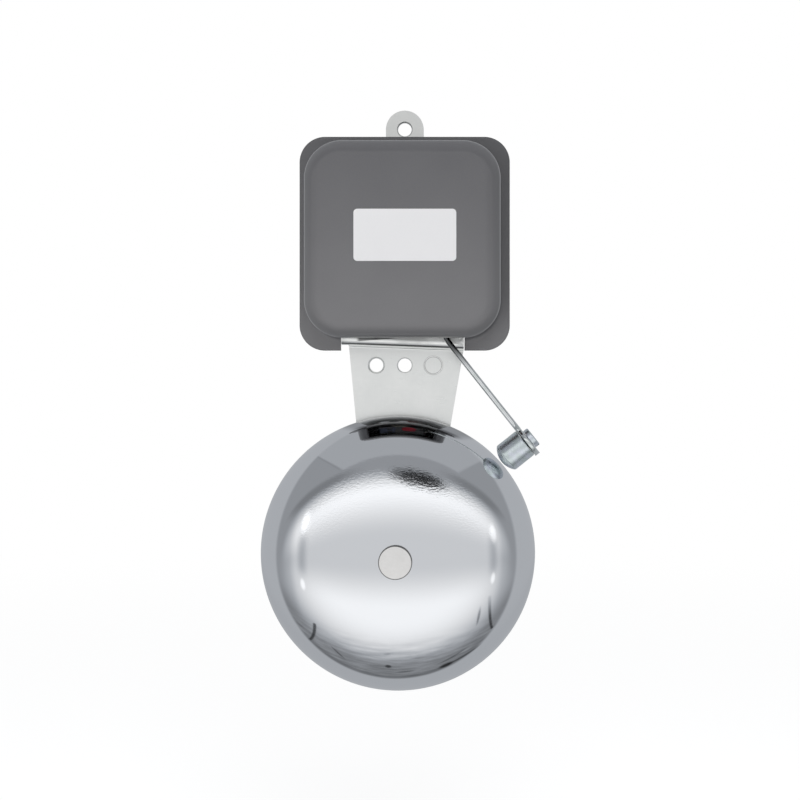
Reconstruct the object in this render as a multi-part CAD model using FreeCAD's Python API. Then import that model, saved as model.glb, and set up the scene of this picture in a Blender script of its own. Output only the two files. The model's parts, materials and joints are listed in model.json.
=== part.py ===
"""A wall-mounted electric bell: box, gong and outside hammer, one STEP file for each piece.

Row frame, in millimetres: the wall is the plane y = 0 and the bell's front faces -Y, so every
depth in front of the wall is written as a positive number and becomes y = -depth. X runs to the
right and Z up. The origin is midway between the two wall-screw holes.
"""
import FreeCAD, Part
import math
import os

Vec = FreeCAD.Vector

# ---- Driving dimensions (mm) ------------------------------------------------------------------

# Fits
RUNNING_GAP = 0.3          # between pieces that move past each other
FITTING_GAP = 0.1          # round a shank, core or barrel that is put in by hand
TOUCH = 0.02               # where a curved face rests on a flat one
PAST = 1.0                 # cutters run this far past the faces they cut

# Base plate: one sheet with a tab, a raised pad, a neck and a leaning tongue
SHEET = 1.5                # thickness
SHEET_BEND_R = 0.4         # inside radius of its joggles
PAD_RISE = 2.5             # the pad stands this far off the wall
JOGGLE_LENGTH = 1.0        # height over which the sheet steps between wall and pad
WALL_HOLE_SPACING = 65.0
WALL_HOLE_D = 3.8
HOLE_EDGE = 0.25           # flare of a punched hole's front edge
TAB_WIDTH = 10.4
NECK_STEP = 2.0            # the neck is this much wider than the tongue's root, at the left
NECK_ABOVE_BRIM = 0.6      # the lower joggle ends this far above the brim's lower edge
TONGUE_LEAN = 2.2          # degrees, its lower end to the left
TONGUE_ROOT_WIDTH = 31.6
TONGUE_END_WIDTH = 16.6
SIDE_HOLE_OFFSET = 7.85    # from the middle hole to each side hole
SIDE_HOLE_D = 3.8
SIDE_HOLE_SINK = 0.45      # countersink of the open side hole
KNOCKOUT_D = 4.9
KNOCKOUT_SLOT = 0.09       # the pierced line round the knock-out
PIP_D = 0.8                # a blind centre-punch hole near the neck's right edge
PIP_DEPTH = 1.1
PIP_EDGE = 0.95            # from its centre to that edge
PIP_RISE = 1.55            # and up from the joggle
EAR_HEIGHT = 9.0
EAR_LENGTH = 14.0
EAR_BEND_R = 1.0

# Cover: a drawn box with a brim
COVER_SHEET = 0.8
COVER_WIDTH = 51.8
COVER_HEIGHT = 52.0
COVER_CORNER_R = 10.0
COVER_EDGE_R = 4.2         # rounding between front face and walls
COVER_FRONT = 23.3         # depth of the front face
COVER_CENTRE_Z = 0.94
BRIM_SIDE = 3.0            # how far the brim stands out at each side
BRIM_END = 3.4             # and above and below
BRIM_CORNER_R = 7.0
BRIM_FILLET = 1.2
BRIM_EDGE_R = 0.35
NOTCH_LIP = 4.6            # the notch in the lower wall stops this far short of the front face
NOTCH_CORNER_R = 1.0
LABEL_WIDTH = 26.8
LABEL_HEIGHT = 13.6
LABEL_CORNER_R = 1.0
LABEL_THICKNESS = 0.15
LABEL_X = 0.8
LABEL_Z = 1.7

# Gong: an elliptical dome on a post
GONG_D = 75.0
GONG_HEIGHT = 17.4
GONG_WALL = 1.2
GONG_RIM = 4.3             # depth of the rim plane
GONG_RIM_R = 0.35
GONG_X = -1.75
GONG_Z = -83.8
POST_D = 10.0
POST_FOOT_D = 14.0
POST_FOOT = 2.0
POST_FOOT_R = 0.8
RIVET_D = 4.8
RIVET_HEAD_D = 8.9
RIVET_HEAD = 1.65
RIVET_HEAD_EDGE = 0.2
RIVET_TAIL_D = 7.4
RIVET_TAIL = 1.1
WASHER_D = 12.0
WASHER_THICKNESS = 0.8

# Hammer: wire, head and screw, all at one depth
HAMMER_DEPTH = 9.5
WIRE_D = 1.5
WIRE_X = 10.3              # where the wire stands in the armature
WIRE_BEND_R = 12.0
WIRE_PEEN_D = 2.4
WIRE_PEEN = 0.5
HEAD_TILT = 38.5           # degrees above horizontal, the head's axis away from the gong
HEAD_D = 8.1
HEAD_LENGTH = 6.5          # the straight part
HEAD_DOME = 1.65           # how far the striking end bulges
HEAD_CHAMFER = 0.3
HEAD_BEARING = 42.05       # degrees above horizontal, from the gong's axis to the striking end
HEAD_GAP = 2.09            # from the gong's wall out to the striking end, at the hammer's depth
EYE_D = 8.4                # the flattened end of the wire
EYE_OFFSET = 0.35          # its middle lies this far past the screw
EYE_EDGE_R = 0.6
SCREW_D = 2.9
SCREW_LENGTH = 5.5
SCREW_HEAD_D = 5.5
SCREW_HEAD = 1.4
SCREW_HEAD_EDGE = 0.35
SCREW_SLOT = 0.8
SCREW_SLOT_DEPTH = 0.7
SCREW_SLOT_TURN = 72.0     # degrees, the slot turned away from the depth direction

# Magnet and armature
POLE_GAP = 1.0
POLE_SHOW = 1.2            # the core stands this far out of the bobbin
CORE_D = 8.0
CORE_X = -1.0
CORE_TAIL_D = 5.0
CORE_TAIL_HEAD_D = 7.0
CORE_TAIL_HEAD = 1.2
COIL_DEPTH = 13.0          # depth of the coil's axis
COIL_HEIGHT = 22.0
FLANGE_D = 17.0
FLANGE = 1.0
BOBBIN_WALL = 0.8
WINDING_D = 15.0
TAPE = 0.3
YOKE_SHEET = 2.0
YOKE_WIDTH = 12.0
YOKE_BEND_R = 0.5
YOKE_END = 2.0             # the top limb reaches this far past the core
FOOT_LENGTH = 8.0
FOOT_WIDTH = 11.0
FOOT_Z = 3.0
FOOT_EAR_GAP = 0.8         # from the side foot to the base plate's ear
ARMATURE_TOP = -12.6
ARMATURE_THICKNESS = 2.4
ARMATURE_WIDTH = 12.0
ARMATURE_OVERHANG = 2.4    # past the wire
ARMATURE_CORNER_R = 1.5
SPRING_SHEET = 0.35
SPRING_WIDTH = 9.0
SPRING_BEND_R = 1.4
SPRING_UP = 11.0           # length of the upright leg, from the hinge line
SPRING_ALONG = 9.0         # length of the lying leg, from the bend
RIVET_ROUNDING = 0.6       # the rounded share of a small rivet head's height
SMALL_RIVET_D = 2.0
SMALL_RIVET_HEAD_D = 3.4
SMALL_RIVET_HEAD = 0.8
SMALL_RIVET_PITCH = 5.0
SMALL_RIVET_MARGIN = 3.2   # from the end of each spring leg
FRAME_RIVET_D = 3.0
FRAME_RIVET_HEAD_D = 5.6
FRAME_RIVET_HEAD = 1.3

# Terminals, leads and cable way
BLOCK_Z = 7.0
BLOCK_EAR_GAP = 1.6        # from the terminal block to the base plate's ear
BLOCK_WIDTH = 9.0
BLOCK_LENGTH = 22.0
BLOCK_HEIGHT = 9.5
BLOCK_WAIST = 5.0          # height of the lower middle part
BLOCK_EDGE_R = 0.6
TERMINAL_PITCH = 13.0
TOWER_LENGTH = 8.0
BARREL_D = 5.0
BARREL_BORE = 2.6
BARREL_LENGTH = 7.6
BARREL_RISE = 3.6          # its axis above the block's seat
TERMINAL_SCREW_D = 2.6
TERMINAL_SCREW_HEAD_D = 3.8
TERMINAL_SCREW_HEAD = 1.5
TERMINAL_SCREW_RISE = 0.5  # its head stands this far off the barrel
BLOCK_SCREW_D = 2.5
BLOCK_SCREW_HEAD_D = 4.4
BLOCK_SCREW_HEAD = 1.6
BLOCK_SCREW_TIP = 1.0      # it stands this far behind the pad
DRIVER_SLOT = 0.7
DRIVER_HEAD_ROUNDING = 0.2 # the rounded share of such a screw head's height
DRIVER_WAY = 0.4           # a tower's bore is this much wider than the screw's head
LEAD_D = 1.2
LEAD_SPREAD = 5.0          # height between the leads where they leave the coil
LEAD_RUN = 3.6             # the straight run out of the coil
LEAD_GRIP = 2.6            # length of lead inside the barrel
LEAD_BEND_R = 1.9
LEAD_MIDDLE_Z = 6.0
GROMMET_HOLE_D = 8.0
GROMMET_BORE = 5.0
GROMMET_LIP_D = 10.6
GROMMET_LIP = 1.3
GROMMET_LIP_R = 0.5
GROMMET_Z = -13.5

# ---- Sizes that follow ------------------------------------------------------------------------

PAD_FRONT = PAD_RISE + SHEET
HOLE_Z = WALL_HOLE_SPACING / 2
BRIM_WIDTH = COVER_WIDTH + 2 * BRIM_SIDE
BRIM_HEIGHT = COVER_HEIGHT + 2 * BRIM_END
BRIM_BACK = SHEET + RUNNING_GAP
BRIM_FRONT = BRIM_BACK + COVER_SHEET
INNER_WIDTH = COVER_WIDTH - 2 * COVER_SHEET
INNER_HEIGHT = COVER_HEIGHT - 2 * COVER_SHEET
INNER_CORNER_R = COVER_CORNER_R - COVER_SHEET
INNER_FRONT = COVER_FRONT - COVER_SHEET
PAD_HALF_WIDTH = INNER_WIDTH / 2 - RUNNING_GAP
EAR_INNER_X = PAD_HALF_WIDTH - SHEET
PAD_TOP = COVER_CENTRE_Z + INNER_HEIGHT / 2 - RUNNING_GAP
PAD_BOTTOM = COVER_CENTRE_Z - INNER_HEIGHT / 2 + RUNNING_GAP
ROOT_Z = COVER_CENTRE_Z - BRIM_HEIGHT / 2 + NECK_ABOVE_BRIM
NECK_Z = ROOT_Z + JOGGLE_LENGTH
ROOT_SHIFT = (NECK_Z + JOGGLE_LENGTH - GONG_Z) * math.sin(math.radians(TONGUE_LEAN))
NECK_LEFT = GONG_X + ROOT_SHIFT - TONGUE_ROOT_WIDTH / 2 - NECK_STEP
NECK_RIGHT = GONG_X + ROOT_SHIFT + TONGUE_ROOT_WIDTH / 2
GONG_APEX = GONG_RIM + GONG_HEIGHT
RIVET_HOLE_D = RIVET_D + 2 * FITTING_GAP
POLE_FACE = ARMATURE_TOP + POLE_GAP
COIL_BOTTOM = POLE_FACE + POLE_SHOW
COIL_TOP = COIL_BOTTOM + COIL_HEIGHT
YOKE_TOP = COIL_TOP + YOKE_SHEET
YOKE_LEFT = FOOT_LENGTH + FOOT_EAR_GAP - EAR_INNER_X
YOKE_LIMB_X = YOKE_LEFT + YOKE_SHEET   # inner face of the upright limb
YOKE_BACK = COIL_DEPTH - YOKE_WIDTH / 2
YOKE_FRONT = COIL_DEPTH + YOKE_WIDTH / 2
YOKE_BOTTOM = ARMATURE_TOP + RUNNING_GAP
FOOT_FRONT = PAD_FRONT + YOKE_SHEET
ARMATURE_LEFT = YOKE_LEFT + SPRING_BEND_R
ARMATURE_RIGHT = WIRE_X + ARMATURE_OVERHANG
ARMATURE_BOTTOM = ARMATURE_TOP - ARMATURE_THICKNESS
HINGE_X = (YOKE_LIMB_X + YOKE_LEFT) / 2
HINGE_Z = ARMATURE_TOP
BLOCK_X = EAR_INNER_X - BLOCK_EAR_GAP - BLOCK_WIDTH / 2
BLOCK_FRONT = PAD_FRONT + BLOCK_HEIGHT
BARREL_DEPTH = PAD_FRONT + BARREL_RISE
LEAD_END_DEPTH = BARREL_DEPTH - BARREL_BORE / 2 + LEAD_D / 2 + TOUCH
EYE_THICKNESS = WIRE_D + 2 * TOUCH


# ---- Helpers ----------------------------------------------------------------------------------

def at(x, depth, z):
    """A point by its place across, its depth in front of the wall, and its height."""
    return Vec(x, -depth, z)


def block(x0, x1, d0, d1, z0, z1):
    """A box between two places across, two depths and two heights."""
    return Part.makeBox(x1 - x0, d1 - d0, z1 - z0, at(x0, d1, z0))


def peg(x, z, diameter, d0, d1):
    """A round bar that stands out from the wall, from depth d0 to depth d1."""
    return Part.makeCylinder(diameter / 2, d1 - d0, at(x, d0, z), Vec(0, -1, 0))


def upright(x, depth, diameter, z0, z1):
    """A round bar along Z."""
    return Part.makeCylinder(diameter / 2, z1 - z0, at(x, depth, z0), Vec(0, 0, 1))


def prism(points, push):
    """A flat polygon pushed along a vector."""
    return Part.Face(Part.makePolygon(points + [points[0]])).extrude(push)


def round_plate(x, z, width, height, corner, d0, d1):
    """A rectangle with round corners, facing the front, between two depths."""
    plate = block(x - width / 2, x + width / 2, d0, d1, z - height / 2, z + height / 2)
    return plate.makeFillet(corner, [edge for edge in plate.Edges if runs_along(edge, "y")])


def runs_along(edge, axis):
    """Whether a straight edge is parallel to one of the frame's axes."""
    line = edge.valueAt(edge.LastParameter) - edge.valueAt(edge.FirstParameter)
    return abs(getattr(line, axis)) > line.Length - 0.001 and edge.Curve.TypeId == "Part::GeomLine"


def edges_at(shape, depth, test=lambda point: True):
    """The edges that lie wholly at one depth, and whose middle passes a test."""
    found = []
    for edge in shape.Edges:
        box = edge.BoundBox
        flat = abs(-box.YMin - depth) < 0.001 and abs(-box.YMax - depth) < 0.001
        if flat and test(middle_of(edge)):
            found.append(edge)
    return found


def middle_of(edge):
    return edge.valueAt((edge.FirstParameter + edge.LastParameter) / 2)


def edges_through(shape, axis, points):
    """The straight edges along an axis that pass through one of the points."""
    found = []
    for edge in shape.Edges:
        if not runs_along(edge, axis):
            continue
        for point in points:
            if edge.distToShape(Part.Vertex(point))[0] < 0.001:
                found.append(edge)
    return found


def turned(profile, base, axis):
    """A closed outline, given as edges, spun a full turn about an axis."""
    return Part.Face(Part.Wire(Part.__sortEdges__(profile))).revolve(base, axis, 360)


def placed(shape, base, direction):
    """A shape built at the origin along +Z, moved to a base and pointed along a direction."""
    turn = FreeCAD.Rotation(Vec(0, 0, 1), direction)
    shape.Placement = FreeCAD.Placement(base, turn)
    return shape


def button(diameter, height, edge_r):
    """A flat round head on the origin, its far edge rounded."""
    head = Part.makeCylinder(diameter / 2, height)
    rim = [edge for edge in head.Edges if edge.BoundBox.ZMin > height / 2]
    return head.makeFillet(edge_r, rim)


def rivet(base, direction, diameter, grip, head_d, head):
    """A rivet with a low head at each end; base is where its first head meets the stack."""
    shank = Part.makeCylinder(diameter / 2, grip, base, direction)
    first = placed(button(head_d, head, head * RIVET_ROUNDING), base, direction * -1)
    second = placed(button(head_d, head, head * RIVET_ROUNDING), base + direction * grip, direction)
    return shank.fuse([first, second]).removeSplitter()


def bent_bar(points, radii, diameter):
    """A round bar along straight runs, joined by tangent arcs of the given radii."""
    edges = []
    start = points[0]
    for corner, ahead, radius in zip(points[1:-1], points[2:], radii):
        inward = (start - corner).normalize()
        outward = (ahead - corner).normalize()
        half_turn = (math.pi - inward.getAngle(outward)) / 2
        setback = radius * math.tan(half_turn)
        arc_start = corner + inward * setback
        arc_end = corner + outward * setback
        middle_way = (inward + outward).normalize()
        arc_middle = corner + middle_way * (radius / math.cos(half_turn) - radius)
        edges.append(Part.LineSegment(start, arc_start).toShape())
        edges.append(Part.Arc(arc_start, arc_middle, arc_end).toShape())
        start = arc_end
    edges.append(Part.LineSegment(start, points[-1]).toShape())
    route = Part.Wire(edges)
    way = (points[1] - points[0]).normalize()
    section = Part.Wire(Part.makeCircle(diameter / 2, points[0], way))
    return route.makePipeShell([section], True, True)


# ---- Base plate -------------------------------------------------------------------------------

def lean(shape):
    """Turn a piece about the gong's centre, so that the tongue leans to the left below."""
    shape.rotate(at(GONG_X, 0, GONG_Z), Vec(0, 1, 0), TONGUE_LEAN)
    return shape


def joggled_strip(wall_end, wall_step, pad_step, pad_end):
    """A wide strip of the sheet, flat on the wall, stepping out to the pad.

    The heights are those of the front face's corners. The back's corners lie nearer the pad, so
    that the sloping stretch has the sheet's own thickness.
    """
    slope = math.atan2(PAD_RISE, abs(wall_step - pad_step))
    shift = math.copysign(SHEET * math.tan(slope / 2), pad_step - wall_step)
    left = -2 * BRIM_WIDTH
    back_corners = [at(left, 0, wall_step + shift), at(left, PAD_RISE, pad_step + shift)]
    front_corners = [at(left, PAD_FRONT, pad_step), at(left, SHEET, wall_step)]
    outline = [at(left, 0, wall_end)] + back_corners
    outline += [at(left, PAD_RISE, pad_end), at(left, PAD_FRONT, pad_end)]
    outline += front_corners + [at(left, SHEET, wall_end)]
    strip = prism(outline, Vec(-2 * left, 0, 0))
    outside = edges_through(strip, "x", [back_corners[0], front_corners[0]])
    strip = strip.makeFillet(SHEET_BEND_R + SHEET, outside)
    inside = edges_through(strip, "x", [back_corners[1], front_corners[1]])
    return strip.makeFillet(SHEET_BEND_R, inside)


def bent_sheet():
    """Both joggled strips, met in the middle of the pad; the lower one leans with the tongue."""
    seam = COVER_CENTRE_Z
    top = joggled_strip(PAD_TOP + WALL_HOLE_SPACING, PAD_TOP, PAD_TOP - JOGGLE_LENGTH, seam)
    low = lean(joggled_strip(GONG_Z - GONG_D, ROOT_Z, NECK_Z, PAD_TOP))
    low = low.common(block(-GONG_D, GONG_D, -PAST, COVER_FRONT, GONG_Z - GONG_D, seam))
    return top.fuse(low).removeSplitter()


def tongue_outline(depth):
    """The tapered tongue with its round end, as a prism that leans."""
    taper = math.atan2((TONGUE_ROOT_WIDTH - TONGUE_END_WIDTH) / 2, ROOT_Z - GONG_Z)
    end_r = TONGUE_END_WIDTH / 2 * math.cos(taper)
    tangent_x = end_r * math.cos(taper)
    tangent_z = GONG_Z - end_r * math.sin(taper)
    half = TONGUE_ROOT_WIDTH / 2
    root = NECK_Z + JOGGLE_LENGTH
    sides = prism([
        at(GONG_X - half, 0, root), at(GONG_X - half, 0, ROOT_Z),
        at(GONG_X - tangent_x, 0, tangent_z), at(GONG_X + tangent_x, 0, tangent_z),
        at(GONG_X + half, 0, ROOT_Z), at(GONG_X + half, 0, root)], Vec(0, -depth, 0))
    return lean(sides.fuse(peg(GONG_X, GONG_Z, 2 * end_r, 0, depth)))


def plate_outline():
    """The base plate seen from the front, as a prism deeper than the sheet."""
    depth = PAD_FRONT + PAST
    tab = block(-TAB_WIDTH / 2, TAB_WIDTH / 2, 0, depth, COVER_CENTRE_Z, HOLE_Z)
    tab = tab.fuse(peg(0, HOLE_Z, TAB_WIDTH, 0, depth))
    pad_top = PAD_TOP - JOGGLE_LENGTH - SHEET
    pad = round_plate(0, (pad_top + PAD_BOTTOM) / 2, 2 * PAD_HALF_WIDTH, pad_top - PAD_BOTTOM,
                      INNER_CORNER_R - RUNNING_GAP, 0, depth)
    neck = block(NECK_LEFT, NECK_RIGHT, 0, depth, NECK_Z, COVER_CENTRE_Z)
    return tab.fuse([pad, neck, tongue_outline(depth)])


def ear(side):
    """A spring ear bent up from the pad's edge, which the cover slides over."""
    outer = side * PAD_HALF_WIDTH
    inner = outer - side * SHEET
    low = COVER_CENTRE_Z - EAR_LENGTH / 2
    high = COVER_CENTRE_Z + EAR_LENGTH / 2
    leg = block(min(outer, inner), max(outer, inner), PAD_RISE, PAD_FRONT + EAR_HEIGHT, low, high)
    bend = edges_through(leg, "z", [at(outer, PAD_RISE, COVER_CENTRE_Z)])
    leg = leg.makeFillet(EAR_BEND_R, bend)
    corners = edges_through(leg, "x", [at((outer + inner) / 2, PAD_FRONT + EAR_HEIGHT, low),
                                       at((outer + inner) / 2, PAD_FRONT + EAR_HEIGHT, high)])
    return leg.makeFillet(2 * SHEET, corners)


def punched_hole(x, z, diameter, flare):
    """The cutter for a hole in the tab or tongue: a bore with a flared front edge."""
    bore = peg(x, z, diameter, -PAST, SHEET + PAST)
    cone = Part.makeCone(diameter / 2, diameter / 2 + flare, flare,
                         at(x, SHEET - flare, z), Vec(0, -1, 0))
    return bore.fuse(cone)


def tail_cone(gap):
    """The countersunk tail of the gong's rivet, or with a gap the seat that it fills."""
    return Part.makeCone(RIVET_TAIL_D / 2 + gap, RIVET_D / 2 + gap, RIVET_TAIL,
                         at(GONG_X, 0, GONG_Z), Vec(0, -1, 0))


def base_plate():
    """One zinc-plated sheet: tab, pad with two ears, neck, joggle and tongue."""
    plate = bent_sheet().common(plate_outline())
    plate = plate.fuse([ear(-1), ear(1)]).removeSplitter()
    behind, before = PAD_RISE - PAST, PAD_FRONT + PAST
    holes = [
        punched_hole(0, HOLE_Z, WALL_HOLE_D, HOLE_EDGE),
        punched_hole(0, -HOLE_Z, WALL_HOLE_D, HOLE_EDGE),
        punched_hole(-SIDE_HOLE_OFFSET, -HOLE_Z, SIDE_HOLE_D, SIDE_HOLE_SINK),
        peg(SIDE_HOLE_OFFSET, -HOLE_Z, KNOCKOUT_D + 2 * KNOCKOUT_SLOT, -PAST, SHEET + PAST),
        peg(BLOCK_X, GROMMET_Z, GROMMET_HOLE_D, behind, before),
        peg(BLOCK_X, BLOCK_Z, BLOCK_SCREW_D, behind, before),
        peg(NECK_RIGHT - PIP_EDGE, NECK_Z + PIP_RISE, PIP_D, PAD_FRONT - PIP_DEPTH, before),
        peg(GONG_X, GONG_Z, RIVET_HOLE_D, -PAST, SHEET + PAST),
        tail_cone(FITTING_GAP),
    ]
    for x, z in frame_rivet_places():
        holes.append(peg(x, z, FRAME_RIVET_D, behind, before))
    return plate.cut(holes)


def knockout_disc():
    """The third hole's disc, pierced all round and pushed back flush."""
    return peg(SIDE_HOLE_OFFSET, -HOLE_Z, KNOCKOUT_D, 0, SHEET)


# ---- Cover ------------------------------------------------------------------------------------

def drawn_block(width, height, corner, edge_r, d0, d1):
    """A round-cornered block whose front edge is rounded over, as a drawing punch is."""
    body = round_plate(0, COVER_CENTRE_Z, width, height, corner, d0, d1)
    return body.makeFillet(edge_r, edges_at(body, d1))


def cover():
    """Drawn sheet-steel box with a brim, notched below for the tongue and the hammer wire."""
    body = drawn_block(COVER_WIDTH, COVER_HEIGHT, COVER_CORNER_R, COVER_EDGE_R,
                       BRIM_BACK, COVER_FRONT)
    brim = round_plate(0, COVER_CENTRE_Z, BRIM_WIDTH, BRIM_HEIGHT, BRIM_CORNER_R,
                       BRIM_BACK, BRIM_FRONT)
    shell = body.fuse(brim).removeSplitter()
    half_width, half_height = COVER_WIDTH / 2 + TOUCH, COVER_HEIGHT / 2 + TOUCH

    def on_body(point):
        return abs(point.x) < half_width and abs(point.z - COVER_CENTRE_Z) < half_height

    shell = shell.makeFillet(BRIM_FILLET, edges_at(shell, BRIM_FRONT, on_body))
    rim = edges_at(shell, BRIM_FRONT, lambda point: not inside_brim(point))
    shell = shell.makeFillet(BRIM_EDGE_R, rim)
    shell = shell.cut(drawn_block(INNER_WIDTH, INNER_HEIGHT, INNER_CORNER_R,
                                  COVER_EDGE_R - COVER_SHEET, BRIM_BACK - PAST, INNER_FRONT))
    return shell.cut(notch())


def inside_brim(point):
    """Whether a point lies within the brim's outer edge by more than the brim's fillet."""
    margin = (BRIM_WIDTH - COVER_WIDTH) / 4
    return (abs(point.x) < BRIM_WIDTH / 2 - margin
            and abs(point.z - COVER_CENTRE_Z) < BRIM_HEIGHT / 2 - margin)


def notch():
    """The cutter for the opening in the brim and the lower wall."""
    left, right = NECK_LEFT - RUNNING_GAP, NECK_RIGHT + RUNNING_GAP
    low = COVER_CENTRE_Z - BRIM_HEIGHT / 2 - PAST
    high = PAD_BOTTOM + PAST
    front = COVER_FRONT - NOTCH_LIP
    opening = block(left, right, BRIM_BACK - PAST, front, low, high)
    corners = edges_through(opening, "z", [at(left, front, low), at(right, front, low)])
    return opening.makeFillet(NOTCH_CORNER_R, corners)


def label():
    """A blank sticker on the cover's front face."""
    return round_plate(LABEL_X, LABEL_Z, LABEL_WIDTH, LABEL_HEIGHT, LABEL_CORNER_R,
                       COVER_FRONT, COVER_FRONT + LABEL_THICKNESS)


# ---- Gong -------------------------------------------------------------------------------------

def dome_depth(reach, radius, height):
    """Depth of an elliptical dome's surface at a distance from its axis."""
    return GONG_RIM + height * math.sqrt(1 - (reach / radius) ** 2)


def dome_arc(radius, height):
    """The part of an ellipse from a dome's rim in to the rivet hole."""
    centre = at(GONG_X, GONG_RIM, GONG_Z)
    across = centre + Vec(radius, 0, 0)
    ahead = centre + Vec(0, -height, 0)
    ellipse = Part.Ellipse(across, ahead, centre)
    hole_edge = at(GONG_X + RIVET_HOLE_D / 2, dome_depth(RIVET_HOLE_D / 2, radius, height), GONG_Z)
    first, last = sorted((ellipse.parameter(across), ellipse.parameter(hole_edge)))
    if last - first > math.pi:
        first, last = last, first + 2 * math.pi
    return Part.ArcOfEllipse(ellipse, first, last).toShape()


def gong():
    """A pressed dome: its walls are two ellipses, spun about the post's axis."""
    radius = GONG_D / 2
    outer = dome_arc(radius, GONG_HEIGHT)
    inner = dome_arc(radius - GONG_WALL, GONG_HEIGHT - GONG_WALL)
    rim = Part.LineSegment(at(GONG_X + radius - GONG_WALL, GONG_RIM, GONG_Z),
                           at(GONG_X + radius, GONG_RIM, GONG_Z)).toShape()
    reach = RIVET_HOLE_D / 2
    hole = Part.LineSegment(
        at(GONG_X + reach, dome_depth(reach, radius - GONG_WALL, GONG_HEIGHT - GONG_WALL), GONG_Z),
        at(GONG_X + reach, dome_depth(reach, radius, GONG_HEIGHT), GONG_Z)).toShape()
    dome = turned([outer, inner, rim, hole], at(GONG_X, 0, GONG_Z), Vec(0, -1, 0))
    return dome.makeFillet(GONG_RIM_R, edges_at(dome, GONG_RIM))


def washer_front():
    """Depth at which the washer's edge meets the curved inside of the gong."""
    return dome_depth(WASHER_D / 2, GONG_D / 2 - GONG_WALL, GONG_HEIGHT - GONG_WALL) - TOUCH


def gong_post():
    """The turned spacer between tongue and gong, with a wide foot."""
    front = washer_front() - WASHER_THICKNESS
    post = peg(GONG_X, GONG_Z, POST_D, SHEET, front)
    post = post.fuse(peg(GONG_X, GONG_Z, POST_FOOT_D, SHEET, SHEET + POST_FOOT)).removeSplitter()
    post = post.makeFillet(POST_FOOT_R, edges_at(post, SHEET + POST_FOOT))
    return post.cut(peg(GONG_X, GONG_Z, RIVET_HOLE_D, SHEET - PAST, front + PAST))


def gong_washer():
    """A fibre washer between post and gong."""
    ring = peg(GONG_X, GONG_Z, WASHER_D, washer_front() - WASHER_THICKNESS, washer_front())
    return ring.cut(peg(GONG_X, GONG_Z, RIVET_HOLE_D, GONG_RIM, GONG_APEX))


def gong_rivet():
    """The rivet that holds gong, washer and post to the tongue, its tail flush behind."""
    seat = dome_depth(RIVET_HOLE_D / 2, GONG_D / 2, GONG_HEIGHT) + TOUCH
    shank = peg(GONG_X, GONG_Z, RIVET_D, 0, seat)
    head = placed(button(RIVET_HEAD_D, RIVET_HEAD, RIVET_HEAD_EDGE),
                  at(GONG_X, seat, GONG_Z), Vec(0, -1, 0))
    return shank.fuse([head, tail_cone(0)]).removeSplitter()


# ---- Hammer -----------------------------------------------------------------------------------

def head_axis():
    """The way out of the head's screw end, away from the gong."""
    tilt = math.radians(HEAD_TILT)
    return Vec(math.cos(tilt), 0, math.sin(tilt))


def head_back():
    """Centre of the head's screw end: from the gong's axis out to the striking end, then back."""
    wall = GONG_D / 2 * math.sqrt(1 - ((HAMMER_DEPTH - GONG_RIM) / GONG_HEIGHT) ** 2)
    reach, bearing = wall + HEAD_GAP, math.radians(HEAD_BEARING)
    tip = at(GONG_X + reach * math.cos(bearing), HAMMER_DEPTH, GONG_Z + reach * math.sin(bearing))
    return tip + head_axis() * (HEAD_DOME + HEAD_LENGTH)


def hammer_head():
    """A turned cylinder with a domed striking end and a tapped hole in the other."""
    radius = HEAD_D / 2
    ball = (radius ** 2 + HEAD_DOME ** 2) / (2 * HEAD_DOME)
    length = HEAD_DOME + HEAD_LENGTH
    rim, tip, back = Vec(radius, 0, HEAD_DOME), Vec(0, 0, 0), Vec(0, 0, length)
    half_way = Vec(ball * math.sin(math.asin(radius / ball) / 2), 0,
                   ball * (1 - math.cos(math.asin(radius / ball) / 2)))
    edge_low = Vec(radius, 0, length - HEAD_CHAMFER)
    edge_high = Vec(radius - HEAD_CHAMFER, 0, length)
    outline = [Part.Arc(tip, half_way, rim).toShape()]
    for start, end in ((rim, edge_low), (edge_low, edge_high), (edge_high, back), (back, tip)):
        outline.append(Part.LineSegment(start, end).toShape())
    body = turned(outline, tip, Vec(0, 0, 1))
    body = body.cut(Part.makeCylinder(SCREW_D / 2, screw_reach(), Vec(0, 0, length - screw_reach())))
    return placed(body, head_back() - head_axis() * length, head_axis())


def screw_reach():
    """How far the screw enters the head, past the wire's eye."""
    return SCREW_LENGTH - EYE_THICKNESS


def hammer_screw():
    """Slotted cheese-head screw that clamps the wire's eye to the head."""
    head = button(SCREW_HEAD_D, SCREW_HEAD, SCREW_HEAD_EDGE)
    slot = Part.makeBox(2 * SCREW_HEAD_D, SCREW_SLOT, SCREW_SLOT_DEPTH + PAST,
                        Vec(-SCREW_HEAD_D, -SCREW_SLOT / 2, SCREW_HEAD - SCREW_SLOT_DEPTH))
    slot.rotate(Vec(0, 0, 0), Vec(0, 0, 1), 90 + SCREW_SLOT_TURN)
    shank = Part.makeCylinder(SCREW_D / 2, SCREW_LENGTH, Vec(0, 0, -SCREW_LENGTH))
    screw = head.fuse(shank).removeSplitter().cut(slot)
    return placed(screw, head_back() + head_axis() * EYE_THICKNESS, head_axis())


def eye_middle():
    """Centre of the wire's eye, which lies on the head's screw end."""
    return head_back() + head_axis() * (EYE_THICKNESS / 2)


def wire_route():
    """The wire's corners: down out of the armature, then square to the head's axis to the eye."""
    eye = eye_middle()
    fall = (eye.x - WIRE_X) / math.tan(math.radians(HEAD_TILT))
    return [at(WIRE_X, HAMMER_DEPTH, ARMATURE_TOP), at(WIRE_X, HAMMER_DEPTH, eye.z + fall), eye]


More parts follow.
